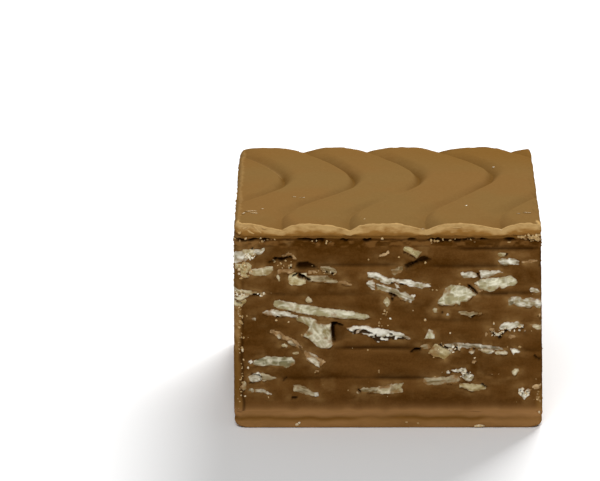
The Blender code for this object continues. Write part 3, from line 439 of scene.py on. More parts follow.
def wander(points, *layers):
    """The sum of several noises, each given by its strength, size and seed."""
    return sum(strength * noise(points, size, seed) for strength, size, seed in layers)


def smooth(value, low, high):
    """0 below low, 1 above high, and an even slope between."""
    share = np.clip((value - low) / (high - low), 0, 1)
    return share * share * (3 - 2 * share)


def band(value, start, risen, falling, end):
    """1 between the middle two numbers, and 0 beyond the outer two."""
    return smooth(value, start, risen) * (1 - smooth(value, falling, end))


def bell(value, middle, width):
    """1 at the middle, and almost nothing two widths away."""
    return np.exp(-(((value - middle) / width) ** 2))


def fade(distance, reach):
    """1 up to distance 0, and then less and less."""
    return np.exp(-np.clip(distance, 0, None) / reach)


def at_level(flat, level=0.0):
    """Flat points as points in space at one level, where each shape can meet noise of its own."""
    return np.column_stack([flat, np.full(len(flat), level)])


def on_line(way):
    """Places as points on a straight line, for noise that is the same at all heights."""
    return np.stack([way, np.zeros_like(way), np.zeros_like(way)], axis=1)


def raise_to(values, places, least):
    """Raises the values at these places to at least this much."""
    values[places] = np.maximum(values[places], least)


class Outline:
    """A square with rounded corners, as a closed line measured by the way from the front's middle."""

    ARC_STEPS = 24

    def __init__(self, half, edges):
        signs = ((1, -1), (1, 1), (-1, 1), (-1, -1))
        points, outs = [(0, -half)], [(0, -1)]
        for quarter, ((sign_x, sign_y), (radius_x, radius_y)) in enumerate(zip(signs, edges)):
            for step in range(self.ARC_STEPS + 1):
                turn = math.pi / 2 * (quarter - 1 + step / self.ARC_STEPS)
                cosine, sine = math.cos(turn), math.sin(turn)
                x = sign_x * (half - radius_x) + radius_x * cosine
                y = sign_y * (half - radius_y) + radius_y * sine
                points.append((x, y))
                outs.append((cosine / radius_x, sine / radius_y))
        self.points = np.array([*points, (0, -half)])
        outs = np.array([*outs, (0, -1)])
        self.outs = outs / np.linalg.norm(outs, axis=1)[:, None]
        steps = np.linalg.norm(np.diff(self.points, axis=0), axis=1)
        self.ways = np.concatenate([[0], np.cumsum(steps)])
        self.length = self.ways[-1]
        after_right, after_back, after_left = self.ways[self.ARC_STEPS + 1 :: self.ARC_STEPS + 1][:3]
        self.middle = {
            "front": 0.0,
            "right": after_right + half - edges[0][1],
            "back": after_back + half - edges[1][0],
            "left": after_left + half - edges[2][1],
        }

    def at(self, way):
        """Points on the line and the directions out of it."""
        way = np.mod(way, self.length)
        point = np.stack([np.interp(way, self.ways, self.points[:, axis]) for axis in (0, 1)], axis=1)
        out = np.stack([np.interp(way, self.ways, self.outs[:, axis]) for axis in (0, 1)], axis=1)
        return point, out / np.linalg.norm(out, axis=1)[:, None]

    def across(self, way, face):
        """How far right of a side's middle these places lie, as seen from outside."""
        across = np.mod(way - self.middle[face] + self.length / 2, self.length) - self.length / 2
        if face == "front":
            over = across + WORN_START
            across = np.where(over < 0, -WORN_START + over / WORN_STRETCH, across)
        return across

    def way(self, across, face):
        """The way to a place this far right of a side's middle."""
        if face == "front":
            over = across + WORN_START
            across = np.where(over < 0, -WORN_START + over * WORN_STRETCH, across)
        return self.middle[face] + across


# On the front, places left of this follow the worn edge round, so that they stay put as seen from there.
WORN_START = FILLING_HALF - WORN_EDGE[0]
WORN_STRETCH = 2.2
FILLING = Outline(FILLING_HALF, (SHARP_EDGE, SHARP_EDGE, SHARP_EDGE, WORN_EDGE))
BASE = Outline(BASE_HALF, (BASE_EDGE,) * 4)

Shard = collections.namedtuple("Shard", "face kind tilt corners seed")
Stain = collections.namedtuple("Stain", "face strength corners seed")
Hollow = collections.namedtuple("Hollow", "face depth ramp wall corners seed")


def drawn_flakes(seed):
    """Rows of flakes for a side that doesn't show: mostly lying flat, with bare stretches between."""
    draw = random.Random(seed)
    rows = []
    for height in DRAWN_ROWS:
        across = -12.6 + draw.uniform(0, 2.5)
        while across < 11.0:
            length = min(1.0 + draw.expovariate(0.5), 6.5)
            if across + length > 12.8:
                break
            thickness = draw.uniform(0.5, 1.0)
            tilt = draw.gauss(-4, 9) if length > 2.5 else draw.gauss(0, 24)
            lift = draw.uniform(-0.45, 0.45)
            rows.append((across + length / 2, height + lift, length, thickness, tilt))
            across += length + draw.uniform(0.8, 4.5)
    return rows


def strewn_flakes(draw, count, lengths, thicknesses, tilts):
    """Rows of small flakes anywhere on a side, each drawn when it is asked for."""
    for _ in range(count):
        across, height = draw.uniform(*STREWN_ACROSS), draw.uniform(*STREWN_UP)
        yield across, height, draw.uniform(*lengths), draw.uniform(*thicknesses), draw.gauss(*tilts)


def broken_outline(across, height, length, thickness, tilt, draw):
    """Corners of a broken slab: nearly a rectangle, with ends and edges that wander."""
    sides = 8 + round(length)
    blunt, taper = draw.uniform(0.45, 0.8), draw.uniform(-0.35, 0.35)
    bow = draw.uniform(-0.1, 0.14) * min(length, 3)
    turn = math.radians(tilt)
    corners = []
    for step in range(sides):
        cosine, sine = math.cos(math.tau * step / sides), math.sin(math.tau * step / sides)
        u = math.copysign(abs(cosine) ** blunt, cosine) * draw.uniform(0.85, 1.05)
        v = math.copysign(abs(sine) ** blunt, sine) * draw.uniform(0.75, 1.15)
        along = u * length / 2
        up = v * thickness / 2 * (1 + taper * u) + bow * (0.5 - u * u)
        turned_along = along * math.cos(turn) - up * math.sin(turn)
        turned_up = along * math.sin(turn) + up * math.cos(turn)
        corners.append((across + turned_along, height + turned_up))
    return corners


def traced(corners):
    """The corners of an outline read off the front, at their true places."""
    places = zip(corners[::2], corners[1::2])
    return [(TRUE_ACROSS * across, TRUE_LIFT + TRUE_UP * height) for across, height in places]


def list_shards():
    """Every bared flake: those placed on the front and left, and those drawn for the other sides."""
    shards = [("front", kind, tilt, traced(corners)) for kind, tilt, corners in FRONT_SHARDS]
    draw = random.Random(3)
    for row in LEFT_FLAKES:
        shards.append(("left", row[5], row[4], broken_outline(*row[:5], draw)))
    for row in strewn_flakes(draw, 16, (0.4, 1.3), (0.2, 0.45), (-10, 25)):
        shards.append(("left", draw.choice(SHARED_KINDS), row[4], broken_outline(*row, draw)))
    for face, seed in DRAWN_SEEDS.items():
        strewn = list(strewn_flakes(draw, 26, (0.5, 1.6), (0.22, 0.5), (0, 30)))
        for row in drawn_flakes(seed) + strewn:
            shards.append((face, draw.choice(SHARED_KINDS), row[4], broken_outline(*row, draw)))
    return [Shard(*shard, seed) for seed, shard in enumerate(shards)]


def list_hollows():
    """Every hollow, placed or drawn in the same way."""
    hollows = [("front", *form, traced(corners)) for *form, corners in FRONT_HOLLOWS]
    draw = random.Random(4)
    rows = [("left", *row) for row in LEFT_HOLLOWS]
    for face in DRAWN_SEEDS:
        for _ in range(14):
            place = draw.uniform(-12.4, 12.4), draw.uniform(2.6, 16.2)
            form = draw.uniform(0.5, 1.8), draw.uniform(0.2, 0.4), draw.gauss(0, 18)
            rows.append((face, *place, *form, draw.uniform(0.35, 0.55)))
    for face, *row, depth in rows:
        hollows.append((face, depth, 0, 0.12, broken_outline(*row, draw)))
    return [Hollow(*hollow, 500 + seed) for seed, hollow in enumerate(hollows)]


SHARDS = list_shards()
HOLLOWS = list_hollows()
STAINS = [
    Stain("front", strength, traced(corners), 800 + number)
    for number, (strength, corners) in enumerate(FRONT_STAINS)
]


def front_places(way):
    """How far right of the front's middle these places lie, and 1 for those on the front."""
    across = FILLING.across(way, "front")
    return across, 1 - smooth(np.abs(across), *FRONT_END)


def along_seam(way, height, seam, strength, seed):
    """Relief, painted shade and painted light of a seam: the layer above draws back to it and is shaded
    there, the ledge below is painted lighter where light catches it.
    """
    over = height - seam - wander(on_line(way), (0.1, 3.2, seed), (0.03, 0.8, seed + 1))
    above = fade(over, 0.45) * (over > 0)
    below = fade(-over - 0.1, 0.7) * (over < -0.1)
    crease = bell(over, 0, 0.16)
    relief = strength * (0.04 * below - 0.05 * above - 0.05 * crease)
    return relief, strength * (0.4 * crease + 0.3 * above), strength * 0.4 * below


def seam_relief(way, height):
    """The same for all seams: those on the front are placed, the others fade in and out."""
    changes = np.zeros((3, len(way)))
    across, on_front = front_places(way)
    for number, (seam, first, last, strength) in enumerate(FRONT_SEAMS):
        here = on_front * strength * band(across, first - 1.0, first + 0.8, last - 0.8, last + 1.0)
        changes += along_seam(way, height, seam, here, 30 + number)
    for number, seam in enumerate(SEAMS):
        here = (1 - on_front) * smooth(noise(on_line(way), 5.0, 50 + number), -0.3, 0.4)
        changes += along_seam(way, height, seam, here, 60 + number)
    return changes


def filling_surface(way, height):
    """Points of the filling's sides, with layers and wobble but no pocket or hollow, and the ways out."""
    flat, out = FILLING.at(way)
    risen = (height - BASE_TOP) / (TOP_UNDERSIDE - BASE_TOP)
    lean_right, lean_left = 0.06 - 0.27 * risen, 0.08 - 0.07 * risen
    flat[:, 0] *= 1 + np.where(flat[:, 0] > 0, lean_right, lean_left) / FILLING_HALF
    flat[:, 1] *= 1 + (0.04 - 0.04 * risen) / FILLING_HALF
    bare = np.column_stack([flat, height])
    relief = seam_relief(way, height)[0]
    relief += wander(bare, (0.022, (4.5, 4.5, 2.2), 1), (0.016, (1.6, 1.6, 0.7), 2))
    relief += wander(bare, (0.007, (0.5, 0.5, 0.22), 3))
    out = at_level(out)
    return bare + out * relief[:, None], out


def inside_distance(spots, corners):
    """How far inside a closed outline the spots lie, negative outside."""
    corners = np.asarray(corners, float)
    nearest = np.full(len(spots), np.inf)
    inside = np.zeros(len(spots), bool)
    for start, end in zip(corners, np.roll(corners, -1, axis=0)):
        edge, offset = end - start, spots - start
        share = np.clip(offset @ edge / (edge @ edge), 0, 1)
        nearest = np.minimum(nearest, np.linalg.norm(offset - share[:, None] * edge, axis=1))
        if start[1] != end[1]:
            level = (start[1] > spots[:, 1]) != (end[1] > spots[:, 1])
            inside ^= level & (offset[:, 0] < offset[:, 1] * edge[0] / edge[1])
    return np.where(inside, nearest, -nearest)


def ragged_distance(spots, shape, ragged):
    """The distance inside a shape's outline that is frayed by about this much."""
    fray = wander(at_level(spots, shape.seed * 1.37), (0.5, 0.4, 21), (0.4, 0.15, 22))
    return inside_distance(spots, shape.corners) + ragged * fray


def spots_near(way, height, shape, reach):
    """Which places lie near a shape on a side, and where they are on that side."""
    spots = np.column_stack([FILLING.across(way, shape.face), height])
    corners = np.asarray(shape.corners, float)
    past_low, before_high = spots > corners.min(axis=0) - reach, spots < corners.max(axis=0) + reach
    near_by = np.flatnonzero(np.all(past_low & before_high, axis=1))
    return near_by, spots[near_by]


# How deep the filling sinks under a flake, and in the gap at a flake's edge.
POCKET_DEPTH = 0.3
GAP_DEPTH = 0.1


def carve_pockets(way, height, depth, shade, stain):
    """Sinks the filling under every flake, opens a gap with painted shadow below parts of its edge, and
    stains what is near.
    """
    for shard in SHARDS:
        near_by, spots = spots_near(way, height, shard, 1.0)
        if not len(near_by):
            continue
        ragged = KINDS[shard.kind].ragged
        edge = ragged_distance(spots, shard, ragged)
        above = ragged_distance(spots + (0, 0.15), shard, ragged)
        places = at_level(spots, shard.seed * 2.1)
        opened = smooth(above - edge, 0.04, 0.12) * smooth(noise(places, 0.7, 71), -0.1, 0.4)
        gap = opened * bell(edge, -0.06, 0.07)
        haze = fade(-edge - 0.03, 0.4) * smooth(noise(places, 0.9, 72), -0.6, 0.6)
        raise_to(depth, near_by, POCKET_DEPTH * smooth(edge, 0.05, 0.14))
        raise_to(depth, near_by, GAP_DEPTH * gap)
        # Painted shadow in the gap below the flake's edge.
        raise_to(shade, near_by, 0.4 * gap)
        raise_to(stain, near_by, 0.8 * haze * (1 - gap))


def spread_stains(way, height, stain):
    """Stains the filling where dust and fat lie in it."""
    for shape in STAINS:
        near_by, spots = spots_near(way, height, shape, 0.6)
        edge = ragged_distance(spots, shape, 0.25)
        raise_to(stain, near_by, shape.strength * smooth(edge, -0.25, 0.2))


def hollow_depth(spots, hollow):
    """How deep a hollow is at these spots, and its painted shade."""
    edge = ragged_distance(spots, hollow, 0.08)
    corners = np.asarray(hollow.corners, float)
    left, right = corners[:, 0].min(), corners[:, 0].max()
    to_right = np.clip((spots[:, 0] - left) / (right - left), 0, 1)
    share = smooth(edge, -0.03, hollow.wall) * (1 - hollow.ramp * to_right)
    return hollow.depth * share, 1.1 * share


def carve_hollows(way, height, depth, shade):
    """Sinks every hollow into the filling and paints shade into it. The shallow ones get less painted shade.
    """
    for hollow in HOLLOWS:
        near_by, spots = spots_near(way, height, hollow, 0.3)
        if len(near_by):
            pit, dark = hollow_depth(spots, hollow)
            raise_to(depth, near_by, pit)
            raise_to(shade, near_by, dark * min(1, hollow.depth * 2.2) ** 2)


# The crack between the filling and the top: its height, and where it stands open on the front, across.
CRACK_HEIGHT = 17.2
OPEN_CRACKS = (
    (-13.0, -12.5), (-12.2, -11.3), (-10.9, -10.6), (-7.75, -6.6), (-6.4, -5.75), (-4.0, -3.7),
    (-2.1, -1.7), (1.9, 2.2), (3.6, 4.3), (4.5, 5.3), (5.9, 6.2), (6.7, 7.4), (8.3, 8.6), (10.4, 11.0),
    (12.6, 12.9),
)


def under_lip(way, height):
    """The ragged crack under the top, open here and there: its depth, and its painted shade."""
    line = on_line(way)
    middle = CRACK_HEIGHT + wander(line, (0.09, 1.1, 91), (0.09, 0.3, 92))
    opened = smooth(wander(line, (1.0, 1.4, 93), (0.4, 0.4, 94)), 0.1, 0.6)
    across, on_front = front_places(way)
    opened *= 1 - 0.85 * on_front
    for first, last in OPEN_CRACKS:
        from_middle = (across - (first + last) / 2) / ((last - first) / 2 + 0.25)
        here = np.sqrt(np.clip(1 - from_middle**2, 0, 1)) * (0.75 + 0.5 * noise(line, 0.25, 90))
        opened = np.maximum(opened, on_front * here)
    half = np.maximum(0.04 + 0.09 * opened + 0.07 * noise(line, 0.3, 98), 0.01)
    # Lumps of the filling stand up into the crack, so it hangs down between them.
    hanging = np.clip(0.5 + 1.2 * noise(line, 0.42, 88), 0, 1.4) * opened
    half = half * np.where(height < middle, 0.6 + 1.6 * hanging, 1.0)
    share = 1 - smooth(np.abs(height - middle), half * 0.5, half + 0.06)
    # Painted shade in the crack: faint along it, darkest where it stands open.
    faint = 0.4 + wander(line, (0.3, 0.8, 99), (0.3, 0.25, 89))
    dark = np.clip(np.maximum(faint, 0.95 * smooth(opened, 0.2, 0.7)), 0, 1)
    return (0.05 + 0.35 * opened) * share, dark * share


# Where the smeared strip down the worn edge ends, across the front.
STRIP_BORDER = -12.85


def worn_strip(way, height):
    """How far this place belongs to the smeared strip down the worn edge, and its broken border, which dips
    in and carries a painted shadow.
    """
    across = FILLING.across(way, "front")
    line = on_line(height)
    border = STRIP_BORDER + wander(line, (0.12, 1.4, 95), (0.06, 0.4, 96))
    lower_down = 0.3 + 0.7 * (1 - smooth(height, 10.0, 12.5))
    strip = lower_down * band(across, -14.2, -13.8, border - 0.1, border + 0.05)
    border_dip_shadow = lower_down * bell(across - border, 0.14, 0.1)
    return strip, 0.8 * border_dip_shadow * smooth(noise(line, 0.9, 97), -0.6, 0.2)


def make_mesh(name, points, quads, triangles, values, material):
    """A smooth piece from points in mm, faces as rows of indices, and named numbers for each point."""
    points = np.asarray(points, float)
    points[:, :2] = np.clip(points[:, :2], -BASE_HALF, BASE_HALF)
    points[:, 2] = np.clip(points[:, 2], 0, CREST)
    quads = np.asarray(quads, np.int32).reshape(-1, 4)
    triangles = np.asarray(triangles, np.int32).reshape(-1, 3)
    starts = [np.arange(len(quads)) * 4, quads.size + np.arange(len(triangles)) * 3]
    mesh = bpy.data.meshes.new(name)
    mesh.vertices.add(len(points))
    mesh.vertices.foreach_set("co", (points * MM).ravel())
    mesh.loops.add(quads.size + triangles.size)
    mesh.loops.foreach_set("vertex_index", np.concatenate([quads.ravel(), triangles.ravel()]))
    mesh.polygons.add(len(quads) + len(triangles))
    mesh.polygons.foreach_set("loop_start", np.concatenate(starts).astype(np.int32))
    for label, numbers in values.items():
        layer = mesh.attributes.new(label, "FLOAT", "POINT")
        layer.data.foreach_set("value", np.asarray(numbers, np.float32))
    mesh.materials.append(material)
    mesh.update(calc_edges=True)
    mesh.shade_smooth()
    piece = bpy.data.objects.new(name, mesh)
    bpy.context.scene.collection.objects.link(piece)
    return piece


def tube_faces(around, levels):
    """Four-sided faces of a closed wall, from the lowest ring of points to the highest."""
    low = np.arange(levels - 1)[:, None] * around + np.arange(around)[None, :]
    following = np.arange(levels - 1)[:, None] * around + (np.arange(around)[None, :] + 1) % around
    return np.stack([low, following, following + around, low + around], axis=-1).reshape(-1, 4)


def grid_faces(grid):
    """Four-sided faces between the points of a grid of indices, whose columns run to the right."""
    corners = [grid[:-1, :-1], grid[1:, :-1], grid[1:, 1:], grid[:-1, 1:]]
    return np.stack(corners, axis=-1).reshape(-1, 4)


def strip_faces(upper, lower):
    """Four-sided faces between two rings of indices."""
    return np.stack([upper, lower, np.roll(lower, -1), np.roll(upper, -1)], axis=1)


def fan(ring, centre):
    """Three-sided faces from a ring of indices to one point."""
    return np.stack([ring, np.roll(ring, -1), np.full(len(ring), centre)], axis=1)


def closed_wall(name, rings, values, material):
    """A solid of stacked rings: (levels, around, 3) points, with its lowest and highest ring filled in."""
    levels, around = rings.shape[:2]
    points = np.vstack([rings.reshape(-1, 3), rings[0].mean(axis=0), rings[-1].mean(axis=0)])
    count = levels * around
    below = fan(np.arange(around)[::-1], count)
    above = fan(np.arange(count - around, count), count + 1)
    values = {label: np.append(numbers, [0, 0]) for label, numbers in values.items()}
    quads = tube_faces(around, levels)
    return make_mesh(name, points, quads, np.vstack([below, above]), values, material)


def ring_ways(outline, steps):
    """Ways round an outline, from its front left corner, with its own spacing on each side."""
    middles = list(outline.middle.values())
    start = middles[0] - RING_START
    corners = [start, *((a + b) / 2 for a, b in zip(middles, middles[1:])), start + outline.length]
    ways = []
    for first, last, step in zip(corners, corners[1:], steps):
        ways.append(np.linspace(first, last, round((last - first) / step), endpoint=False))
    return np.concatenate(ways)


# Heights on the filling: the crumbled band below the crack, how far down chocolate of the top has been
# dragged, and the brink next to the base, below which the nougat carries painted light, as the base's lit
# ridge does.
CRUMBLED = (16.4, 16.75, 17.05, 17.15)
DRAGGED_TO = 17.4
BRINK = 1.68


def filling_levels():
    """Heights of the filling's rings, closer together near the top, where the crack is."""
    low, high = BASE_TOP - 0.1, TOP_UNDERSIDE + 0.12
    even = np.arange(low, high - 1.0, HEIGHT_STEP)
    return np.concatenate([even, np.linspace(high - 1.0, high, round(1.0 / HEIGHT_STEP / 0.45))])


def make_filling(material):
    """The cut nougat: seams, pockets under the flakes, hollows, the crack at the top and the worn edge."""
    ways, heights = ring_ways(FILLING, (FRONT_STEP, HIDDEN_STEP, HIDDEN_STEP, SIDE_STEP)), filling_levels()
    way, height = np.tile(ways, len(heights)), np.repeat(heights, len(ways))
    points, out = filling_surface(way, height)
    _, shade, painted_ledge_light = seam_relief(way, height)
    depth, stain = np.zeros_like(way), np.zeros_like(way)
    carve_pockets(way, height, depth, shade, stain)
    spread_stains(way, height, stain)
    carve_hollows(way, height, depth, shade)
    crack, gloom = under_lip(way, height)
    strip, border_dip_shadow = worn_strip(way, height)
    crumbled = band(height, *CRUMBLED)
    rubble = wander(points, (1.0, (0.6, 0.6, 0.32), 13), (0.6, (0.25, 0.25, 0.16), 14))
    depth = np.maximum(depth, crack) - 0.09 * crumbled * rubble + 0.1 * border_dip_shadow - 0.03 * strip
    depth += 0.5 * smooth(height, TOP_UNDERSIDE, TOP_UNDERSIDE + 0.1)
    broad = wander(points, (0.5, (5.0, 5.0, 1.4), 11), (0.35, (1.8, 1.8, 0.5), 12))
    points = points - out * depth[:, None]
    # Painted light: on the seams' ledges, on the raised crumbled lumps under the crack, and on the band just
    # under the top's lip, lifted out of its shadow.
    tone = 0.3 + 0.45 * broad + painted_ledge_light + 1.5 * crumbled * np.clip(rubble, -0.2, 1)
    tone += 0.5 * smooth(height, CRACK_HEIGHT, CRACK_HEIGHT + 0.2) - 0.2 * bell(height, 2.4, 0.7)
    # The worn strip is lightest high up, where it has caught golden dust.
    golden = strip * (0.15 + 1.15 * smooth(height, 6.0, 9.0)) * smooth(noise(points, 0.5, 15), -1.0, 0.2)
    # Chocolate of the top has been dragged down over the filling's upper edge.
    line = on_line(way)
    dragged = DRAGGED_TO + wander(line, (0.1, 1.2, 18), (0.07, 0.35, 19))
    strip = np.maximum(strip, 0.9 * smooth(height, dragged - 0.06, dragged + 0.05))
    # At the lower right the edge is worn amber.
    worn_right = smooth(FILLING.across(way, "front"), 12.7, 13.3) * (1 - smooth(height, 3.0, 4.2))
    brink = BRINK + wander(line, (0.25, 3.1, 16), (0.14, 0.8, 17))
    values = {
        # Painted shade: in the seams, the gaps under flakes, the hollows, the crack and beside the worn
        # strip's border.
        "shade": np.clip(np.maximum(shade, gloom) + 0.8 * border_dip_shadow, 0, 1),
        "tone": tone,
        "strip": np.maximum(strip, worn_right),
        "stain": np.maximum(stain, golden),
        # Painted light next to the base.
        "glow": fade(height - brink, 0.34),
    }
    return closed_wall("cut_nougat", points.reshape(len(heights), len(ways), 3), values, material)


def bared_face(flat, edge, low, kind, seed):
    """Relief of a flake's bared face in mm, its painted shade, and how pale it is, from its own mottling and
    from painted light: a thin sheet, crumpled and folded.

    The number low runs from -1 at the flake's upper edge to 1 at its lower edge."""
    spots = at_level(flat, seed * 1.7)
    along, up = flat.T
    patch = noise(spots, (1.3, 0.7, 1), 26)
    lump = noise(spots, (0.42, 0.24, 1), 27)
    grit = noise(spots, (0.22, 0.13, 1), 34)
    crest = smooth(1 - np.abs(noise(spots, (1.1, 0.4, 1), 24)), 0.72, 1.0)
    wrinkle = smooth(1 - np.abs(noise(spots, (0.5, 0.18, 1), 28)), 0.7, 1.0)
    lean = 0.9 if seed % 2 else -0.7
    folds = (along + lean * up) / 1.9 + wander(spots, (0.9, 1.6, 25), (0.25, 0.6, 35))
    facet = folds - np.floor(folds)
    creased = 1.0 if kind in ("creased", "torn") else 0.3
    step = smooth(facet, 0.84, 0.96)
    relief = 0.035 * patch + 0.03 * lump + 0.05 * crest + 0.025 * wrinkle + 0.012 * grit - 0.1
    relief += 0.07 * creased * (facet - step)
    # Painted shade between the lumps and along the folds; painted light on the crests, wrinkles and facets,
    # and painted shade towards the lower edge, over the sheet's own mottling.
    dark = 0.22 * smooth(-lump, 0.25, 0.7) * (1 - crest) + 0.3 * creased * smooth(facet, 0.96, 0.99)
    pale = 0.24 + 0.3 * patch + 0.22 * lump + 0.4 * crest + 0.22 * wrinkle + 0.15 * grit - 0.12 * low
    pale += creased * (0.45 * facet**2 - 0.15)
    if kind in ("creased", "torn"):
        veins = smooth(1 - 3 * np.abs(noise(spots, (0.9, 0.5, 1), 36)), 0.3, 1.0)
        strength = 0.6 if kind == "torn" else 0.3
        relief += 0.06 * strength * veins
        pale += strength * (veins - 0.3)
    if kind == "pitted":
        # Painted shade in the pits, and painted light along the upper edge.
        pits = smooth(noise(spots, (0.3, 0.17, 1), 29) + 1.1 * low + 0.4, 0.35, 0.6)
        beads = smooth(noise(spots, (0.24, 0.2, 1), 30), 0.05, 0.2)
        relief += 0.13 * beads * pits - 0.15 * pits
        dark += 1.1 * pits * (1 - beads)
        pale += 0.6 * beads * pits + 0.4 * smooth(-low, 0.0, 0.5)
    if kind == "white":
        streaks = noise(spots, (0.8, 0.12, 1), 37)
        relief += 0.02 * streaks
        pale += 0.3 * streaks
    if kind in ("white", "core"):
        # Painted shade in the cracks.
        cracks = smooth(noise(spots, (0.5, 0.14, 1), 29) + 0.25 * low, 0.5, 0.75)
        relief -= 0.06 * cracks
        dark += 0.35 * cracks
        pale += 0.2 * grit + 0.05
    if kind == "mottled":
        pale += 0.35 * smooth(lump, 0.1, 0.6) + 0.15 * bell(edge, 0.14, 0.09) - 0.1
    if kind in ("grey", "smoky"):
        streaks = noise(spots, (1.8, 0.1, 1), 33)
        relief += 0.02 * streaks
        pale += 0.4 * streaks
    return relief, dark, pale


# A flake's grid ends this far behind the filling's surface, goes on inwards by its edge's depth, and
# closes in one point. Its face stands out at most this far.
FLAKE_ROOT = 0.17
FLAKE_EDGE = 0.3
FLAKE_HEART = 1.4
MOST_STANDING = 0.095


def flake_grid(shard):
    """A fine grid over one flake: indices, places along and across its grain and on the side, and centre."""
    turn = math.radians(shard.tilt)
    axes = np.array([[math.cos(turn), math.sin(turn)], [-math.sin(turn), math.cos(turn)]])
    corners = np.asarray(shard.corners, float)
    centre = corners.mean(axis=0)
    local = (corners - centre) @ axes.T
    low, high = local.min(axis=0) - 0.2, local.max(axis=0) + 0.2
    step = FLAKE_STEP if shard.face == "front" else HIDDEN_FLAKE_STEP
    counts = [max(5, round(size / step)) for size in high - low]
    lines = [np.linspace(*ends, count) for *ends, count in zip(low, high, counts)]
    flat = np.stack(np.meshgrid(*lines, indexing="ij"), axis=-1).reshape(-1, 2)
    return np.arange(len(flat)).reshape(counts), flat, flat @ axes + centre, centre


def shard_patch(shard):
    """Points, faces and values of one flake: a creased face that rises out of the filling at its edge."""
    kind = KINDS[shard.kind]
    grid, flat, spots, centre = flake_grid(shard)
    edge = ragged_distance(spots, shard, kind.ragged)
    above, below = (inside_distance(spots + (0, up), shard.corners) for up in (0.2, -0.2))
    relief, dark, pale = bared_face(flat, edge, (above - below) / 0.4, shard.kind, shard.seed)
    proud = kind.proud + 0.02 * hashed(np.array([[shard.seed, 1, 2]]), 4)[0]
    face_lift = np.minimum((proud + relief) * smooth(edge, -0.05, 0.12), MOST_STANDING)
    lift = -FLAKE_ROOT + smooth(edge, -0.1, 0.03) * (FLAKE_ROOT + face_lift)
    for hollow in HOLLOWS:
        if hollow.face == shard.face:
            pit, gloom = hollow_depth(spots, hollow)
            lift, dark = lift - pit, np.maximum(dark, gloom)
    places = at_level(spots, shard.seed * 3.3)
    cloud = wander(places, (1.0, (1.1, 0.5, 1), 29), (0.5, 0.3, 31))
    edging = 0.07 + 0.06 * noise(places, 0.6, 32)
    smear = 0.8 * smooth(cloud + kind.cover, 0.3, 1.0) + 0.75 * fade(edge - 0.01, edging)

    loop = np.concatenate([grid[:, 0], grid[-1, 1:], grid[-2::-1, -1], grid[0, -2:0:-1]])
    lift = np.concatenate([lift, np.minimum(lift[loop], -FLAKE_ROOT) - FLAKE_EDGE, [-FLAKE_HEART]])
    spots = np.vstack([spots, spots[loop], centre])
    points, out = filling_surface(FILLING.way(spots[:, 0], shard.face), spots[:, 1])
    points = points + out * lift[:, None]
    skirt = grid.size + np.arange(len(loop))
    quads = np.vstack([grid_faces(grid), strip_faces(loop, skirt)])
    hidden = np.ones(len(loop) + 1)
    values = {
        "shade": np.append(dark, 0.6 * hidden),
        "smear": np.append(smear, 0.9 * hidden),
        "pale": np.append(pale, 0.0 * hidden),
    }
    return points, quads, fan(skirt[::-1], len(points) - 1), values


def join_patches(name, patches, material):
    """One piece from many small ones."""
    points, quads, triangles, values = [], [], [], {}
    count = 0
    for patch_points, patch_quads, patch_triangles, patch_values in patches:
        points.append(patch_points)
        quads.append(patch_quads + count)
        triangles.append(patch_triangles + count)
        for label, numbers in patch_values.items():
            values.setdefault(label, []).append(numbers)
        count += len(patch_points)
    values = {label: np.concatenate(numbers) for label, numbers in values.items()}
    return make_mesh(name, np.vstack(points), np.vstack(quads), np.vstack(triangles), values, material)


def make_flakes():
    """The bared flakes, one piece for each kind."""
    patches = {kind: [] for kind in KINDS}
    for shard in SHARDS:
        patches[shard.kind].append(shard_patch(shard))
    return [join_patches(f"flakes_{kind}", found, flake_material(kind)) for kind, found in patches.items()]


def groove_shift(y):
    """How far right of its place a groove lies here, on a smooth curve through the path's points."""
    steps = (y - PATH_START) / PATH_STEP
    first = np.clip(np.floor(steps).astype(int), 1, len(GROOVE_PATH) - 3)
    share = steps - first
    path = np.array(GROOVE_PATH)
    before, start, end, after = (path[first + offset] for offset in (-1, 0, 1, 2))
    bow_in, bow_out = (end - before) / 2 - (end - start), (after - start) / 2 - (end - start)
    return start + share * (end - start) + share * (1 - share) * (bow_in * (1 - share) - bow_out * share)


def comb_height(x, y):
    """The combed surface: between two grooves it rises to a crest and falls again."""
    place = at_level(np.stack([x, y], axis=1))
    sway = wander(place, (0.12, 5.0, 41), (0.06, 1.6, 42))
    later = 0.15 * np.clip(x + 2.8, 0, 13) * band(y, -8.0, 0.0, 5.0, 13.0)
    pitches = np.interp(x - groove_shift(y - later) + sway, GROOVES, np.arange(len(GROOVES)))
    share = pitches - np.floor(pitches)
    places, *form = np.array(COMB_FORM).T
    depth, begin, end = (np.interp(y - later, places, column) for column in form)
    up = np.sin(np.pi / 2 * np.clip(share / begin, 0, 1))
    down = np.cos(np.pi / 2 * np.clip((share - end) / (1 - end), 0, 1))
    for spot_x, spot_y, wide, long, faint in FAINT_SPOTS:
        depth = depth * (1 - faint * bell(x, spot_x, wide) * bell(y, spot_y, long))
    height = CREST - 0.06 - depth * (1 - np.minimum(up, down))
    # On the left, and along the front half, the comb has pushed up a fine edge beside the groove.
    beside = bell(share, 0.93, 0.03) * smooth(y, 3.0, 6.0) * (x < -8)
    beside += 0.7 * bell(share, 0.13, 0.04) * band(y, -11.0, -8.0, -1.0, 2.0)
    height += 0.07 * beside * (0.6 + 0.5 * noise(place, 1.3, 43))
    height += wander(place, (0.035, 4.5, 44), (0.02, 1.8, 45), (0.008, 0.6, 40))
    return np.minimum(height, CREST - 0.02)


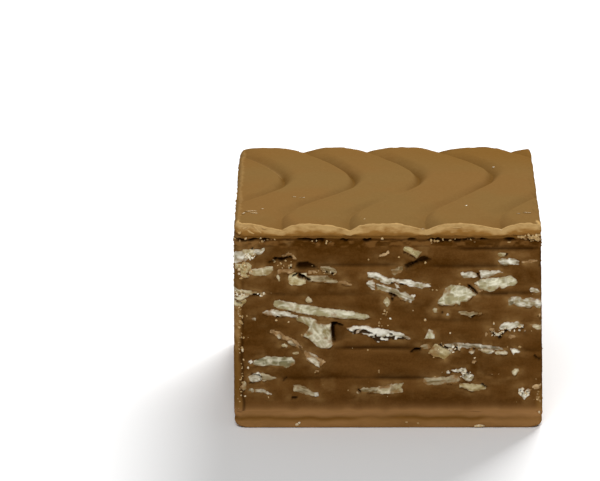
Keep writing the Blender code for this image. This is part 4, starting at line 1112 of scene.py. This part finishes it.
def top_rows():
    """For each row of the top from front to back: y and the least and greatest x inside the outline."""
    rows = np.linspace(-TOP_REACH, TOP_REACH, round(2 * TOP_REACH / TOP_STEP) + 1)

    def reach(half, radii, corner_sign):
        over = np.clip((corner_sign * rows - (TOP_REACH - radii[1])) / radii[1], 0, 1)
        return half - radii[0] * (1 - np.sqrt(1 - over**2))

    right = np.minimum(reach(TOP_RIGHT, SHARP_EDGE, 1), reach(TOP_RIGHT, SHARP_EDGE, -1))
    left = -np.minimum(reach(TOP_LEFT, SHARP_EDGE, 1), reach(TOP_LEFT, WORN_EDGE, -1))
    return rows, left, right


def top_sheet():
    """The sheet of the top, its border rolled into a bead: points, how far each belongs to the bead and to
    the border's rounding, and how far it lies in front."""
    rows, left, right = top_rows()
    share = np.linspace(0, 1, len(rows))
    x = (left[:, None] + (right - left)[:, None] * share[None, :]).ravel()
    y, left, right = (np.repeat(numbers, len(rows)) for numbers in (rows, left, right))
    inside = np.minimum(np.minimum(x - left, right - x), TOP_REACH - np.abs(y))
    place = at_level(np.stack([x, y], axis=1))
    in_front = smooth(-y, TOP_REACH - 2.0, TOP_REACH - 1.0)
    rolled = 0.35 + 0.6 * in_front + wander(place, (0.3, 1.6, 46), (0.4, 0.55, 47))
    width = 0.42 + wander(place, (0.14, 1.1, 53), (0.13, 0.4, 54))
    bead = smooth(width - inside, -0.09, 0.09)
    z = comb_height(x, y) - 0.11 * fade(inside, 0.8) + 0.13 * np.clip(rolled, 0, 1) * bead
    round_off = np.clip(1 - inside / 0.4, 0, 1)
    z = np.minimum(z, CREST) - 0.34 * (1 - np.sqrt(1 - 0.98 * round_off**2))
    return np.stack([x, y, z], axis=1), bead, round_off, in_front


def ways_out(rim):
    """Level directions out of a ring of points, evened out along it."""
    tangent = (np.roll(rim, -1, axis=0) - np.roll(rim, 1, axis=0))[:, :2]
    for _ in range(3):
        tangent = tangent + np.roll(tangent, 1, axis=0) + np.roll(tangent, -1, axis=0)
    out = np.stack([tangent[:, 1], -tangent[:, 0]], axis=1)
    return out / np.linalg.norm(out, axis=1)[:, None]


# How many rings of points the cut lip has.
LIP_RINGS = 12


def cut_lip(rim):
    """Rings of points down the top's cut side, from below its rim to its underside, the last tucked in."""
    out = ways_out(rim)
    line = at_level(rim[:, :2])
    low_edge = TOP_UNDERSIDE + 0.02 + wander(line, (0.06, 1.3, 48), (0.05, 0.4, 49))
    swell = 0.05 + 0.03 * noise(line, 1.7, 51)
    rings = []
    for step in range(1, LIP_RINGS + 1):
        down = step / LIP_RINGS
        level = rim[:, 2] + (low_edge - rim[:, 2]) * down
        rough = 0.035 * noise(np.column_stack([rim[:, :2], level]), (0.8, 0.8, 0.3), 52)
        bulge = swell * math.sin(math.pi * min(1, down * 1.2)) + rough - 0.05 * smooth(down, 0.4, 1.0)
        rings.append(np.column_stack([rim[:, :2] + out * bulge[:, None], level]))
    return rings + [rings[-1] - at_level(out * 0.5)]


def make_top(material):
    """The combed top: a fine sheet whose border is rolled into a bead, and below it the cut lip."""
    sheet, bead, round_off, in_front = top_sheet()
    x, y, z = sheet.T
    count = len(sheet)
    # The sheet has as many columns as rows.
    grid = np.arange(count).reshape(math.isqrt(count), -1)
    loop = np.concatenate([grid[0], grid[1:, -1], grid[-1, -2::-1], grid[-2:0:-1, 0]])
    points = np.vstack([sheet, *cut_lip(sheet[loop]), [[0, 0, TOP_UNDERSIDE]]])
    around = len(loop)
    bands = [loop] + [count + level * around + np.arange(around) for level in range(LIP_RINGS + 1)]
    quads = [grid_faces(grid)[:, ::-1]]
    quads += [strip_faces(upper, lower) for upper, lower in zip(bands, bands[1:])]
    # Painted shade: each ring further down the cut lip is painted darker.
    falls = 0.25 + 0.75 * np.arange(1, LIP_RINGS + 2) / LIP_RINGS
    # Painted reflection: the top is painted browner and darker towards the back and the right, where a soft
    # reflection of the light fades.
    painted_sheen_fade = smooth(y, 2.0, 12.0) * (0.45 + 0.55 * smooth(x, -2.0, 11.0))
    # Painted shade in the grooves, darkest where they bend. Behind its bend the second one has a painted
    # highlight on its edge instead, in the lip's colour.
    shaded = np.clip((CREST - z) / DEEPEST, 0, 1) * (0.45 + 0.55 * bell(y, 2.7, 3.6))
    lit = band(y, 3.2, 5.0, 9.5, 11.5) * bell(x - GROOVES[1], groove_shift(y), 0.3)
    top_lip = np.maximum(bead * np.maximum(in_front, 0.2 * (x < 0)), 0.3 * lit)
    hidden = np.ones(len(points) - count)
    values = {
        "painted_sheen_fade": np.append(painted_sheen_fade, 0 * hidden),
        "lip": np.append(top_lip, hidden),
        "fall": np.concatenate([0.25 * round_off, np.repeat(falls, around), [1]]),
        "groove_shade": np.append(shaded * (1 - 0.7 * lit), 0 * hidden),
    }
    ends = fan(bands[-1][::-1], len(points) - 1)
    return make_mesh("combed_chocolate", points, np.vstack(quads), ends, values, material)


# The base from its underside up: height, and how far the side draws back at left and right, and in front.
BASE_PROFILE = (
    (0.0, 3.0, 3.0), (0.0, 0.75, 0.3), (0.04, 0.6, 0.16), (0.1, 0.45, 0.08), (0.2, 0.28, 0.03),
    (0.35, 0.13, 0.01), (0.5, 0.05, 0.01), (0.6, 0.03, 0.03), (0.7, 0.05, 0.05), (0.8, 0.07, 0.07),
    (0.9, 0.08, 0.08), (1.0, 0.06, 0.06), (1.1, 0.03, 0.03), (1.22, 0.01, 0.01), (1.36, 0.0, 0.0),
    (1.48, 0.02, 0.02), (1.58, 0.05, 0.05), (BASE_TOP, 0.06, 0.06), (BASE_TOP, 2.5, 2.5),
)
GROOVE_HEIGHT, RIDGE_HEIGHT = 0.88, 1.38


def make_base(material):
    """The base: a foot that is rounder at left and right, a shallow groove, a low ridge, fine scrapes."""
    fine = np.arange(0, len(BASE_PROFILE) - 0.9, 0.5)
    columns = [np.interp(fine, np.arange(len(BASE_PROFILE)), column) for column in zip(*BASE_PROFILE)]
    levels, *inset = columns
    ways = ring_ways(BASE, BASE_STEPS)
    way, height = np.tile(ways, len(fine)), np.repeat(levels, len(ways))
    flat, out = BASE.at(way)
    around = at_level(flat)
    on_side = band(height, 0.05, 0.3, 1.4, BASE_TOP)
    shifted = height + on_side * wander(around, (0.14, 4.5, 101), (0.1, 1.3, 102))
    drawn_back = np.column_stack([np.interp(shifted, levels, column) for column in inset])
    foot = height < 0.05
    drawn_back[foot] = np.repeat(np.column_stack(inset), len(ways), axis=0)[foot]
    points = np.column_stack([flat * (1 - drawn_back / BASE_HALF), height])
    relief = -0.025 + wander(points, (0.025, (2.2, 2.2, 0.4), 103), (0.02, (0.6, 0.6, 0.25), 104))
    points[:, :2] += out * (np.clip(relief, -0.1, 0) * on_side)[:, None]
    faded = 0.35 + 0.65 * smooth(noise(around, 4.0, 105) + 0.3 - 0.04 * flat[:, 0], -0.1, 0.6)
    # Painted shade along the groove, fading here and there, and a painted highlight along the ridge, where
    # it stands out and catches the light.
    groove_shade, lit_ridge = bell(shifted, GROOVE_HEIGHT, 0.2) * faded, bell(shifted, RIDGE_HEIGHT, 0.2)
    rings = points.reshape(len(levels), len(ways), 3)
    return closed_wall("scraped_base", rings, {"groove_shade": groove_shade, "lit_ridge": lit_ridge}, material)


def unit_blob():
    """A small rounded lump as points and faces, to be squashed and turned for each crumb."""
    body = bmesh.new()
    bmesh.ops.create_icosphere(body, subdivisions=2, radius=1)
    points = np.array([corner.co[:] for corner in body.verts])
    faces = np.array([[corner.index for corner in face.verts] for face in body.faces])
    body.free()
    return points, faces


BLOB = unit_blob()


def lump_patch(place, sizes, axes, seed, tint):
    """One irregular bit at a place, with its sizes along three axes."""
    points, faces = BLOB
    lumpy = points * (1 + 0.35 * noise(points + seed, 0.7, 111))[:, None]
    return lumpy * sizes @ axes.T + place, np.zeros((0, 4), int), faces, {"tint": np.full(len(points), tint)}


# Crumbs: side, across from and to, height from and to, how many, and their size from and to.
CRUMBS = (
    ("front", -13.4, -9.8, 16.95, 17.4, 12, 0.04, 0.1),
    ("front", -7.9, -4.8, 16.9, 17.2, 8, 0.05, 0.12),
    ("front", 3.2, 8.0, 16.9, 17.3, 9, 0.04, 0.1),
    ("front", 11.2, 13.4, 17.0, 17.6, 12, 0.06, 0.15),
    ("front", -0.9, 0.3, 9.2, 10.9, 7, 0.05, 0.1),
    ("front", -13.0, 13.0, 2.2, 16.8, 34, 0.03, 0.07),
    ("left", -13.0, 13.0, 2.2, 16.8, 70, 0.04, 0.1),
    ("left", -1.5, 4.0, 4.6, 8.6, 30, 0.06, 0.18),
    ("left", 4.0, 13.0, 13.0, 17.0, 34, 0.05, 0.14),
    ("left", -13.0, 13.2, 16.9, 17.4, 30, 0.05, 0.13),
    ("right", -13.0, 13.0, 2.2, 17.3, 90, 0.04, 0.13),
    ("back", -13.0, 13.0, 2.2, 17.3, 90, 0.04, 0.13),
)

# Clusters of crumbs on the front, read like its outlines: across, height, half width, half height, how
# many, size and tint.
CLUSTERS = (
    (-12.75, 14.4, 0.75, 0.75, 30, 0.13, 0.65), (-12.4, 15.75, 0.75, 0.4, 20, 0.12, 1.15),
    (-13.1, 12.2, 0.5, 0.3, 14, 0.12, 0.95), (-13.0, 10.0, 0.14, 1.1, 16, 0.11, 0.6),
    (-13.0, 7.6, 0.1, 1.4, 15, 0.09, 0.5), (-12.95, 4.4, 0.1, 1.6, 14, 0.09, 0.6),
    (-13.05, 2.2, 0.08, 0.5, 6, 0.08, 0.6), (12.0, 3.1, 0.45, 0.4, 16, 0.14, 1.15),
    (6.9, 4.85, 0.8, 0.35, 12, 0.11, 1.15), (10.9, 9.2, 1.0, 0.35, 18, 0.1, 1.05),
    (9.7, 8.6, 0.6, 0.35, 12, 0.09, 0.85), (5.6, 7.15, 0.35, 0.35, 9, 0.1, 1.1),
    (-9.1, 14.9, 0.7, 0.45, 12, 0.08, 0.7), (-11.4, 12.25, 0.6, 0.2, 9, 0.09, 1.0),
    (12.6, 17.45, 0.75, 0.2, 14, 0.13, 0.5), (13.2, 2.4, 0.2, 0.9, 8, 0.12, 0.5),
    (-5.2, 14.2, 0.7, 0.25, 8, 0.09, 0.8), (4.9, 7.2, 0.7, 0.3, 7, 0.1, 1.0),
)

# Single crumbs on the front: across, height, half width, half height and tint.
FRONT_CRUMBS = (
    (-12.95, 8.85, 0.1, 0.13, 0.8), (-12.7, 8.32, 0.11, 0.1, 0.6), (-12.32, 8.35, 0.08, 0.08, 0.3),
    (-12.8, 7.2, 0.1, 0.22, 0.9), (-12.7, 6.3, 0.1, 0.11, 0.7), (-12.33, 5.55, 0.13, 0.14, 0.9),
    (-12.88, 4.6, 0.06, 0.2, 0.7), (-12.6, 2.95, 0.1, 0.13, 0.8), (-13.1, 2.72, 0.14, 0.16, 1.0),
    (-12.4, 10.3, 0.08, 0.1, 0.5), (-12.8, 10.25, 0.09, 0.12, 0.6), (-8.75, 9.75, 0.1, 0.1, 0.7),
    (-9.85, 9.9, 0.12, 0.11, 0.8), (-13.25, 10.3, 0.07, 0.5, 0.6), (-13.05, 9.5, 0.09, 0.3, 0.5),
    (-13.05, 1.9, 0.05, 0.5, 0.5), (0.9, 15.63, 0.12, 0.1, 0.6), (-1.76, 15.4, 0.08, 0.1, 0.5),
    (-0.35, 10.75, 0.1, 0.12, 0.8), (-0.14, 10.63, 0.08, 0.09, 0.6), (0.15, 10.05, 0.11, 0.11, 1.3),
    (-0.82, 9.7, 0.07, 0.11, 0.7), (-0.85, 9.38, 0.09, 0.09, 0.7), (3.2, 9.9, 0.12, 0.14, 0.8),
    (3.62, 13.2, 0.1, 0.05, 0.4), (3.85, 12.65, 0.08, 0.1, 0.5), (4.2, 12.63, 0.09, 0.1, 0.5),
    (-0.55, 17.32, 0.12, 0.1, 0.7), (3.7, 17.15, 0.1, 0.15, 0.55), (4.0, 17.1, 0.12, 0.12, 0.45),
    (6.2, 13.2, 0.12, 0.1, 0.5), (7.55, 6.42, 0.13, 0.12, 0.8), (5.4, 8.72, 0.1, 0.11, 0.9),
    (9.2, 9.6, 0.09, 0.14, 0.9), (-1.8, 7.17, 0.1, 0.1, 0.6), (3.25, 4.4, 0.12, 0.1, 1.1),
    (11.5, 7.45, 0.15, 0.1, 0.5), (3.2, 15.12, 0.1, 0.12, 0.6), (-5.75, 4.0, 0.12, 0.1, 0.4),
    (-6.1, 4.2, 0.1, 0.09, 0.3), (-0.85, 5.2, 0.09, 0.2, 0.3), (-7.6, 8.55, 0.12, 0.12, 0.4),
    (11.5, 17.45, 0.35, 0.12, 0.6), (12.3, 17.4, 0.25, 0.14, 0.5), (12.9, 17.25, 0.2, 0.16, 0.55),
    (13.1, 17.6, 0.2, 0.1, 0.5), (10.5, 16.95, 0.35, 0.1, 0.4), (-13.3, 17.15, 0.2, 0.1, 0.6),
    (-8.05, 0.35, 0.15, 0.12, 0.9), (-7.85, 0.5, 0.1, 0.1, 1.0), (8.0, 0.2, 0.5, 0.12, 0.8),
    (1.6, 0.55, 0.12, 0.08, 0.5), (2.6, 0.45, 0.1, 0.08, 0.5), (13.3, 1.5, 0.1, 0.2, 0.8),
)



def spot_on(face, across, height):
    """One point of the filling's surface, and the way out of it."""
    points, outs = filling_surface(FILLING.way(np.array([across]), face), np.array([height]))
    return points[0], outs[0]


def tumbled(draw, size, form, most):
    """A crumb's sizes along three axes, and those axes, turned at random."""
    sizes = size * np.array(form) * draw.uniform(0.7, most, 3)
    return sizes, np.linalg.qr(draw.normal(size=(3, 3)))[0]


def make_crumbs(material):
    """Loose golden bits that cling to the cut sides."""
    draw = np.random.default_rng(7)
    patches = []
    for face, left, right, low, high, count, least, most in CRUMBS:
        for _ in range(count):
            place, out = spot_on(face, draw.uniform(left, right), draw.uniform(low, high))
            form = tumbled(draw, draw.uniform(least, most), (1.5, 0.8, 0.9), 1.3)
            patches.append(lump_patch(place - out * 0.02, *form, draw.integers(999), draw.uniform(0, 0.8)))
    for across, height, half_wide, half_tall, count, size, tint in CLUSTERS:
        for _ in range(count):
            turn, reach = draw.uniform(0, math.tau), draw.uniform(0, 1) ** 0.5
            right, up = half_wide * reach * math.cos(turn), half_tall * reach * math.sin(turn)
            place, out = spot_on("front", *traced((across + right, height + up))[0])
            form = tumbled(draw, size * draw.uniform(0.5, 1.1), (1.4, 0.9, 0.8), 1.2)
            shade = tint + draw.uniform(-0.3, 0.2)
            patches.append(lump_patch(place - out * 0.03, *form, draw.integers(999), shade))
    for across, height, wide, tall, tint in FRONT_CRUMBS:
        outline = FILLING if height > BASE_TOP else BASE
        (flat,), ((out_x, out_y),) = outline.at(FILLING.way(np.array([across]), "front"))
        axes = np.array([[-out_y, 0, out_x], [out_x, 0, out_y], [0, 1, 0]])
        place = np.array([flat[0] - 0.02 * out_x, flat[1] - 0.02 * out_y, height])
        patches.append(lump_patch(place, (wide, tall, 0.09), axes, draw.integers(999), tint))
    return join_patches("crumbs", patches, material)


# Bits on the top: across, along, half size along, half size across, turn in degrees and tint.
TOP_SPECKS = (
    (9.7, 6.4, 0.12, 0.1, 0, 1.0), (6.9, -7.3, 0.1, 0.09, 0, 1.0), (-12.1, -9.0, 0.5, 0.1, 10, 0.6),
    (-11.8, -9.6, 0.35, 0.08, -15, 0.7), (-12.7, -9.7, 0.2, 0.08, 40, 0.8),
    (12.2, -9.6, 0.4, 0.08, -5, 0.4), (11.4, -9.9, 0.2, 0.07, 0, 0.4), (-2.1, -11.6, 0.1, 0.08, 0, 0.7),
    (-11.1, -8.2, 0.16, 0.08, 0, 0.4), (-8.3, -4.3, 0.18, 0.1, -20, 0.5),
    (-7.6, -4.5, 0.3, 0.08, -10, 0.3), (9.85, -13.2, 0.3, 0.08, 0, 0.7), (2.9, -13.25, 0.25, 0.07, 5, 0.6),
)

# Shavings left by the knife on the front lip: across, height, half length, half thickness and tilt.
SHAVINGS = (
    (-11.4, 18.1, 0.55, 0.09, -42), (-12.0, 17.9, 0.4, 0.08, -30), (-12.5, 18.3, 0.25, 0.08, 20),
    (-13.0, 17.85, 0.14, 0.12, 0), (-10.9, 18.25, 0.2, 0.06, -30), (5.9, 18.3, 0.4, 0.06, 3),
)


def turned_axes(degrees, first, second):
    """Three axes, of which the first and second named are turned in their own plane."""
    axes, turn = np.eye(3), math.radians(degrees)
    axes[first, first] = axes[second, second] = math.cos(turn)
    axes[second, first] = math.sin(turn)
    axes[first, second] = -math.sin(turn)
    return axes


def make_top_bits(crumb, lip):
    """The few light bits on the combed top, and the shavings on the lip."""
    draw = np.random.default_rng(17)
    specks, shavings = [], []
    for x, y, long, wide, turn, tint in TOP_SPECKS:
        place = np.array([x, y, comb_height(np.array([x]), np.array([y]))[0]])
        axes = turned_axes(turn, 0, 1)
        specks.append(lump_patch(place, (long, wide, 0.06), axes, draw.integers(999), tint))
    for across, height, long, thick, tilt in SHAVINGS:
        place = np.array([across, -TOP_HALF + 0.02, height])
        axes = turned_axes(tilt, 0, 2)
        *faces, _ = lump_patch(place, (long, 0.09, thick), axes, draw.integers(999), 0)
        none = np.zeros(len(faces[0]))
        values = {"painted_sheen_fade": none, "lip": none + 1, "fall": none, "groove_shade": none}
        shavings.append((*faces, values))
    return join_patches("top_specks", specks, crumb), join_patches("lip_shavings", shavings, lip)


class Paint:
    """A material of nodes: colour, bumps and roughness from stored numbers and noise over the object."""

    def __init__(self, name, roughness, specular):
        self.material = bpy.data.materials.new(name)
        self.material.use_nodes = True
        self.tree = self.material.node_tree
        self.shader = self.tree.nodes["Principled BSDF"]
        self.shader.inputs["Roughness"].default_value = roughness
        self.shader.inputs["Specular IOR Level"].default_value = specular
        self.shader.inputs["Specular Tint"].default_value = (1.0, 0.8, 0.5, 1)

    def node(self, kind, inputs=(), **settings):
        """A node of this kind. Inputs are set by name or number, from a value or another node's output."""
        node = self.tree.nodes.new(kind)
        for label, value in settings.items():
            setattr(node, label, value)
        for label, value in dict(inputs).items():
            if isinstance(value, bpy.types.NodeSocket):
                self.tree.links.new(value, node.inputs[label])
            else:
                node.inputs[label].default_value = value
        return node

    def stored(self, label):
        """A number kept at each point of the mesh."""
        return self.node("ShaderNodeAttribute", attribute_name=label).outputs["Fac"]

    def grain(self, size, detail=3.0, stretch=(1, 1, 1)):
        """Noise over the object, its lumps this many mm across, from 0 to 1."""
        place = self.node("ShaderNodeTexCoord").outputs["Object"]
        scale = tuple(1000 / (size * share) for share in stretch)
        scaled = self.node("ShaderNodeMapping", {"Vector": place, "Scale": scale}).outputs[0]
        inputs = {"Vector": scaled, "Scale": 1.0, "Detail": detail}
        return self.node("ShaderNodeTexNoise", inputs).outputs[0]

    def ranged(self, value, low, high, out_low=0.0, out_high=1.0):
        """A number moved from one range to another, and kept inside it."""
        inputs = {0: value, 1: low, 2: high, 3: out_low, 4: out_high}
        return self.node("ShaderNodeMapRange", inputs).outputs[0]

    def joined(self, operation, first, second):
        """Two numbers joined by ADD or MULTIPLY."""
        return self.node("ShaderNodeMath", {0: first, 1: second}, operation=operation).outputs[0]

    def mixed(self, factor, low, high):
        """A colour between two, by a factor."""
        low, high = ((*colour, 1) if isinstance(colour, tuple) else colour for colour in (low, high))
        return self.node("ShaderNodeMix", {0: factor, 6: low, 7: high}, data_type="RGBA").outputs[2]

    def bumped(self, height, strength, distance, **normal):
        """The surface's direction with bumps of this many mm, over other bumps where there are any."""
        inputs = {"Height": height, "Strength": strength, "Distance": distance * MM, **normal}
        return self.node("ShaderNodeBump", inputs).outputs[0]

    def finished(self, **sockets):
        """The material with these outputs joined to its shader, a _ standing for a space in their names."""
        for label, socket in sockets.items():
            self.tree.links.new(socket, self.shader.inputs[label.replace("_", " ")])
        return self.material


def nougat_material():
    paint = Paint("nougat", 0.6, 0.0)
    dark, light, worn = (0.064, 0.023, 0.0025), (0.152, 0.067, 0.0165), (0.15, 0.068, 0.013)
    painted_shade_colour, dusty, lit_ridge = (0.02, 0.007, 0.001), (0.28, 0.155, 0.053), (0.285, 0.143, 0.05)
    patches = paint.ranged(paint.grain(2.4, 4.0, (1.6, 1.6, 0.5)), 0.3, 0.7, -0.18, 0.18)
    speckle = paint.ranged(paint.grain(0.14), 0.3, 0.7, -0.14, 0.14)
    tone = paint.joined("ADD", paint.joined("ADD", paint.stored("tone"), patches), speckle)
    fine = paint.ranged(paint.grain(0.35, 4.0, (1.5, 1.5, 0.8)), 0.5, 0.8, 0.0, 0.35)
    colour = paint.mixed(fine, paint.mixed(tone, dark, light), light)
    colour = paint.mixed(paint.stored("strip"), colour, worn)
    # Painted light next to the base, in the lit ridge's colour.
    colour = paint.mixed(paint.stored("glow"), colour, lit_ridge)
    dust = paint.ranged(paint.grain(0.6, 4.0, (1.5, 1.5, 0.8)), 0.3, 0.65, 0.2, 1.0)
    colour = paint.mixed(paint.joined("MULTIPLY", paint.stored("stain"), dust), colour, dusty)
    # Painted shade in the seams, the gaps under flakes, the hollows and the crack.
    colour = paint.mixed(paint.stored("shade"), colour, painted_shade_colour)
    normal = paint.bumped(paint.grain(0.2), 0.25, 0.02)
    normal = paint.bumped(paint.grain(1.1, 4.0, (2.0, 2.0, 0.45)), 0.4, 0.06, Normal=normal)
    rough = paint.ranged(paint.grain(0.7), 0.3, 0.7, 0.42, 0.6)
    return paint.finished(Base_Color=colour, Normal=normal, Roughness=rough)


def flake_material(kind):
    paint = Paint(f"flake_{kind}", 0.55, 0.15)
    brown, painted_shade_colour = (0.24, 0.125, 0.042), (0.03, 0.013, 0.004)
    patches = paint.ranged(paint.grain(0.5, 3.0, (1.4, 1.4, 0.8)), 0.3, 0.7, -0.25, 0.25)
    tone = paint.joined("ADD", paint.stored("pale"), patches)
    cover = paint.ranged(paint.grain(0.35), 0.35, 0.65, 0.5, 1.1)
    cover = paint.joined("MULTIPLY", paint.stored("smear"), cover)
    colour = paint.mixed(cover, paint.mixed(tone, KINDS[kind].deep, KINDS[kind].pale), brown)
    # Painted shade in the flakes' pits, cracks and folds.
    colour = paint.mixed(paint.stored("shade"), colour, painted_shade_colour)
    normal = paint.bumped(paint.grain(0.3, 4.0, (2.0, 2.0, 0.7)), 0.6, 0.06)
    return paint.finished(Base_Color=colour, Normal=normal)


def top_material():
    paint = Paint("combed_chocolate", 0.6, 0.0)
    olive, brown, back = (0.206, 0.117, 0.036), (0.213, 0.112, 0.033), (0.193, 0.095, 0.0214)
    groove_shade, golden, freckle = (0.13, 0.061, 0.0115), (0.32, 0.19, 0.07), (0.15, 0.078, 0.02)
    lip, lip_low, lip_foot = (0.5, 0.315, 0.124), (0.268, 0.129, 0.03), (0.2, 0.09, 0.02)
    colour = paint.mixed(paint.ranged(paint.grain(7.0), 0.4, 0.6), olive, brown)
    # Painted reflection, fading towards the back and the right.
    colour = paint.mixed(paint.stored("painted_sheen_fade"), colour, back)
    # Painted shade in the grooves.
    colour = paint.mixed(paint.ranged(paint.stored("groove_shade"), 0.22, 0.85), colour, groove_shade)
    fine = paint.ranged(paint.grain(0.35, 4.0), 0.45, 0.8, 0.0, 0.12)
    colour = paint.mixed(fine, colour, golden)
    fleck = paint.ranged(paint.grain(0.16, 2.0), 0.5, 0.75, 0.0, 0.25)
    colour = paint.mixed(fleck, colour, freckle)
    blotch = paint.ranged(paint.grain(0.6, 3.0, (1.6, 1.6, 0.7)), 0.3, 0.7, -0.24, 0.24)
    fall = paint.joined("ADD", paint.stored("fall"), blotch)
    # The cut lip is paler than the top. Painted shade makes it darker down its face and darkest at its foot,
    # under the lit bead.
    cut = paint.mixed(paint.ranged(fall, 0.15, 0.6), lip, lip_low)
    cut = paint.mixed(paint.ranged(fall, 0.75, 1.05), cut, lip_foot)
    colour = paint.mixed(paint.stored("lip"), colour, cut)
    normal = paint.bumped(paint.grain(0.2), 0.2, 0.02)
    normal = paint.bumped(paint.grain(1.1, 4.0), 0.3, 0.04, Normal=normal)
    rough = paint.ranged(paint.grain(1.5), 0.3, 0.7, 0.42, 0.55)
    return paint.finished(Base_Color=colour, Normal=normal, Roughness=rough)


def base_material():
    paint = Paint("base_chocolate", 0.6, 0.0)
    foot, lit_ridge = (0.272, 0.136, 0.044), (0.292, 0.147, 0.053)
    groove_shade, shady = (0.158, 0.07, 0.014), (0.17, 0.079, 0.019)
    # Painted highlight along the ridge.
    colour = paint.mixed(paint.stored("lit_ridge"), foot, lit_ridge)
    broad = paint.ranged(paint.grain(1.8, 4.0, (2, 2, 0.6)), 0.4, 0.7, 0.0, 0.5)
    colour = paint.mixed(broad, colour, shady)
    fine = paint.ranged(paint.grain(0.5, 4.0, (1.5, 1.5, 0.6)), 0.5, 0.8, 0.0, 0.4)
    colour = paint.mixed(fine, colour, lit_ridge)
    # Painted shade along the groove.
    colour = paint.mixed(paint.stored("groove_shade"), colour, groove_shade)
    normal = paint.bumped(paint.grain(0.2), 0.25, 0.02)
    normal = paint.bumped(paint.grain(1.2, 4.0, (2.0, 2.0, 0.5)), 0.4, 0.06, Normal=normal)
    return paint.finished(Base_Color=colour, Normal=normal)


def crumb_material():
    paint = Paint("golden_crumb", 0.45, 0.25)
    brown, golden, pale = (0.15, 0.07, 0.02), (0.50, 0.33, 0.14), (0.78, 0.73, 0.58)
    change = paint.ranged(paint.grain(0.2, 2.0), 0.3, 0.7, -0.2, 0.2)
    tint = paint.joined("ADD", paint.stored("tint"), change)
    colour = paint.mixed(paint.ranged(tint, 0.0, 0.7), brown, golden)
    colour = paint.mixed(paint.ranged(tint, 0.7, 1.2), colour, pale)
    return paint.finished(Base_Color=colour, Normal=paint.bumped(paint.grain(0.08), 0.4, 0.02))


def floor_material():
    paint = Paint("pale_floor", 0.85, 0.15)
    return paint.finished(Base_Color=paint.mixed(paint.grain(40.0, 2.0), (0.9,) * 3, (0.92,) * 3))


# The stage, in metres: the floor, the point that the lights face, and the camera's place and nearest view.
FLOOR_HALF = 3.0
AIM = (0, 0, 0.009)
CAMERA_PLACE = (-0.00413, -0.45157, 0.14073)
NEAR = 0.01
# The camera's lens and sensor in millimetres, and its turns.
LENS, SENSOR_WIDTH = 313.28, 36.0
PITCH, YAW, ROLL = (math.radians(degrees) for degrees in (90 - 15.753, 0.471, -0.203))


def make_floor():
    """A wide pale floor."""
    mesh = bpy.data.meshes.new("floor")
    corners = [(x * FLOOR_HALF, y * FLOOR_HALF, 0) for x, y in ((-1, -1), (1, -1), (1, 1), (-1, 1))]
    mesh.from_pydata(corners, [], [(0, 1, 2, 3)])
    mesh.materials.append(floor_material())
    floor = bpy.data.objects.new("floor", mesh)
    bpy.context.scene.collection.objects.link(floor)


def add_light(name, place, size, power):
    """A soft square light that faces the praline."""
    data = bpy.data.lights.new(name, "AREA")
    data.shape = "SQUARE"
    data.size = size
    data.energy = power
    light = bpy.data.objects.new(name, data)
    light.location = place
    light.rotation_euler = (Vector(AIM) - Vector(place)).to_track_quat("-Z", "Y").to_euler()
    bpy.context.scene.collection.objects.link(light)


def light_scene():
    """A soft light high at the back, a weaker one high at the front, and an even surround."""
    add_light("high_back", (0.15, 0.5, 0.4), 0.28, 5.2)
    add_light("high_front", (-0.12, -0.6, 0.6), 0.35, 4.2)
    world = bpy.data.worlds.new("surround")
    world.use_nodes = True
    background = world.node_tree.nodes["Background"]
    background.inputs["Color"].default_value = (1, 1, 1, 1)
    background.inputs["Strength"].default_value = 0.22
    bpy.context.scene.world = world
    bpy.context.scene.view_settings.view_transform = "Standard"


def add_camera():
    """A long lens from the photograph's place, in front of the praline and a little above it."""
    data = bpy.data.cameras.new("camera")
    data.sensor_width, data.lens, data.clip_start = SENSOR_WIDTH, LENS, NEAR
    camera = bpy.data.objects.new("camera", data)
    camera.location = CAMERA_PLACE
    turn = Euler((PITCH, 0, YAW), "XYZ").to_matrix() @ Euler((0, 0, ROLL), "XYZ").to_matrix()
    camera.rotation_euler = turn.to_euler()
    bpy.context.scene.collection.objects.link(camera)
    bpy.context.scene.camera = camera


def dress(piece, node):
    """Sets a piece on the root body and hides the node that it replaces."""
    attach(piece, "root")
    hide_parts(node)


def main():
    add_camera()
    light_scene()
    make_floor()
    dress(make_base(base_material()), "milk_base")
    dress(make_filling(nougat_material()), "praline_filling")
    for piece in make_flakes():
        dress(piece, "praline_filling")
    crumb, coating = crumb_material(), top_material()
    dress(make_crumbs(crumb), "praline_filling")
    dress(make_top(coating), "combed_top")
    for piece in make_top_bits(crumb, coating):
        dress(piece, "combed_top")


main()
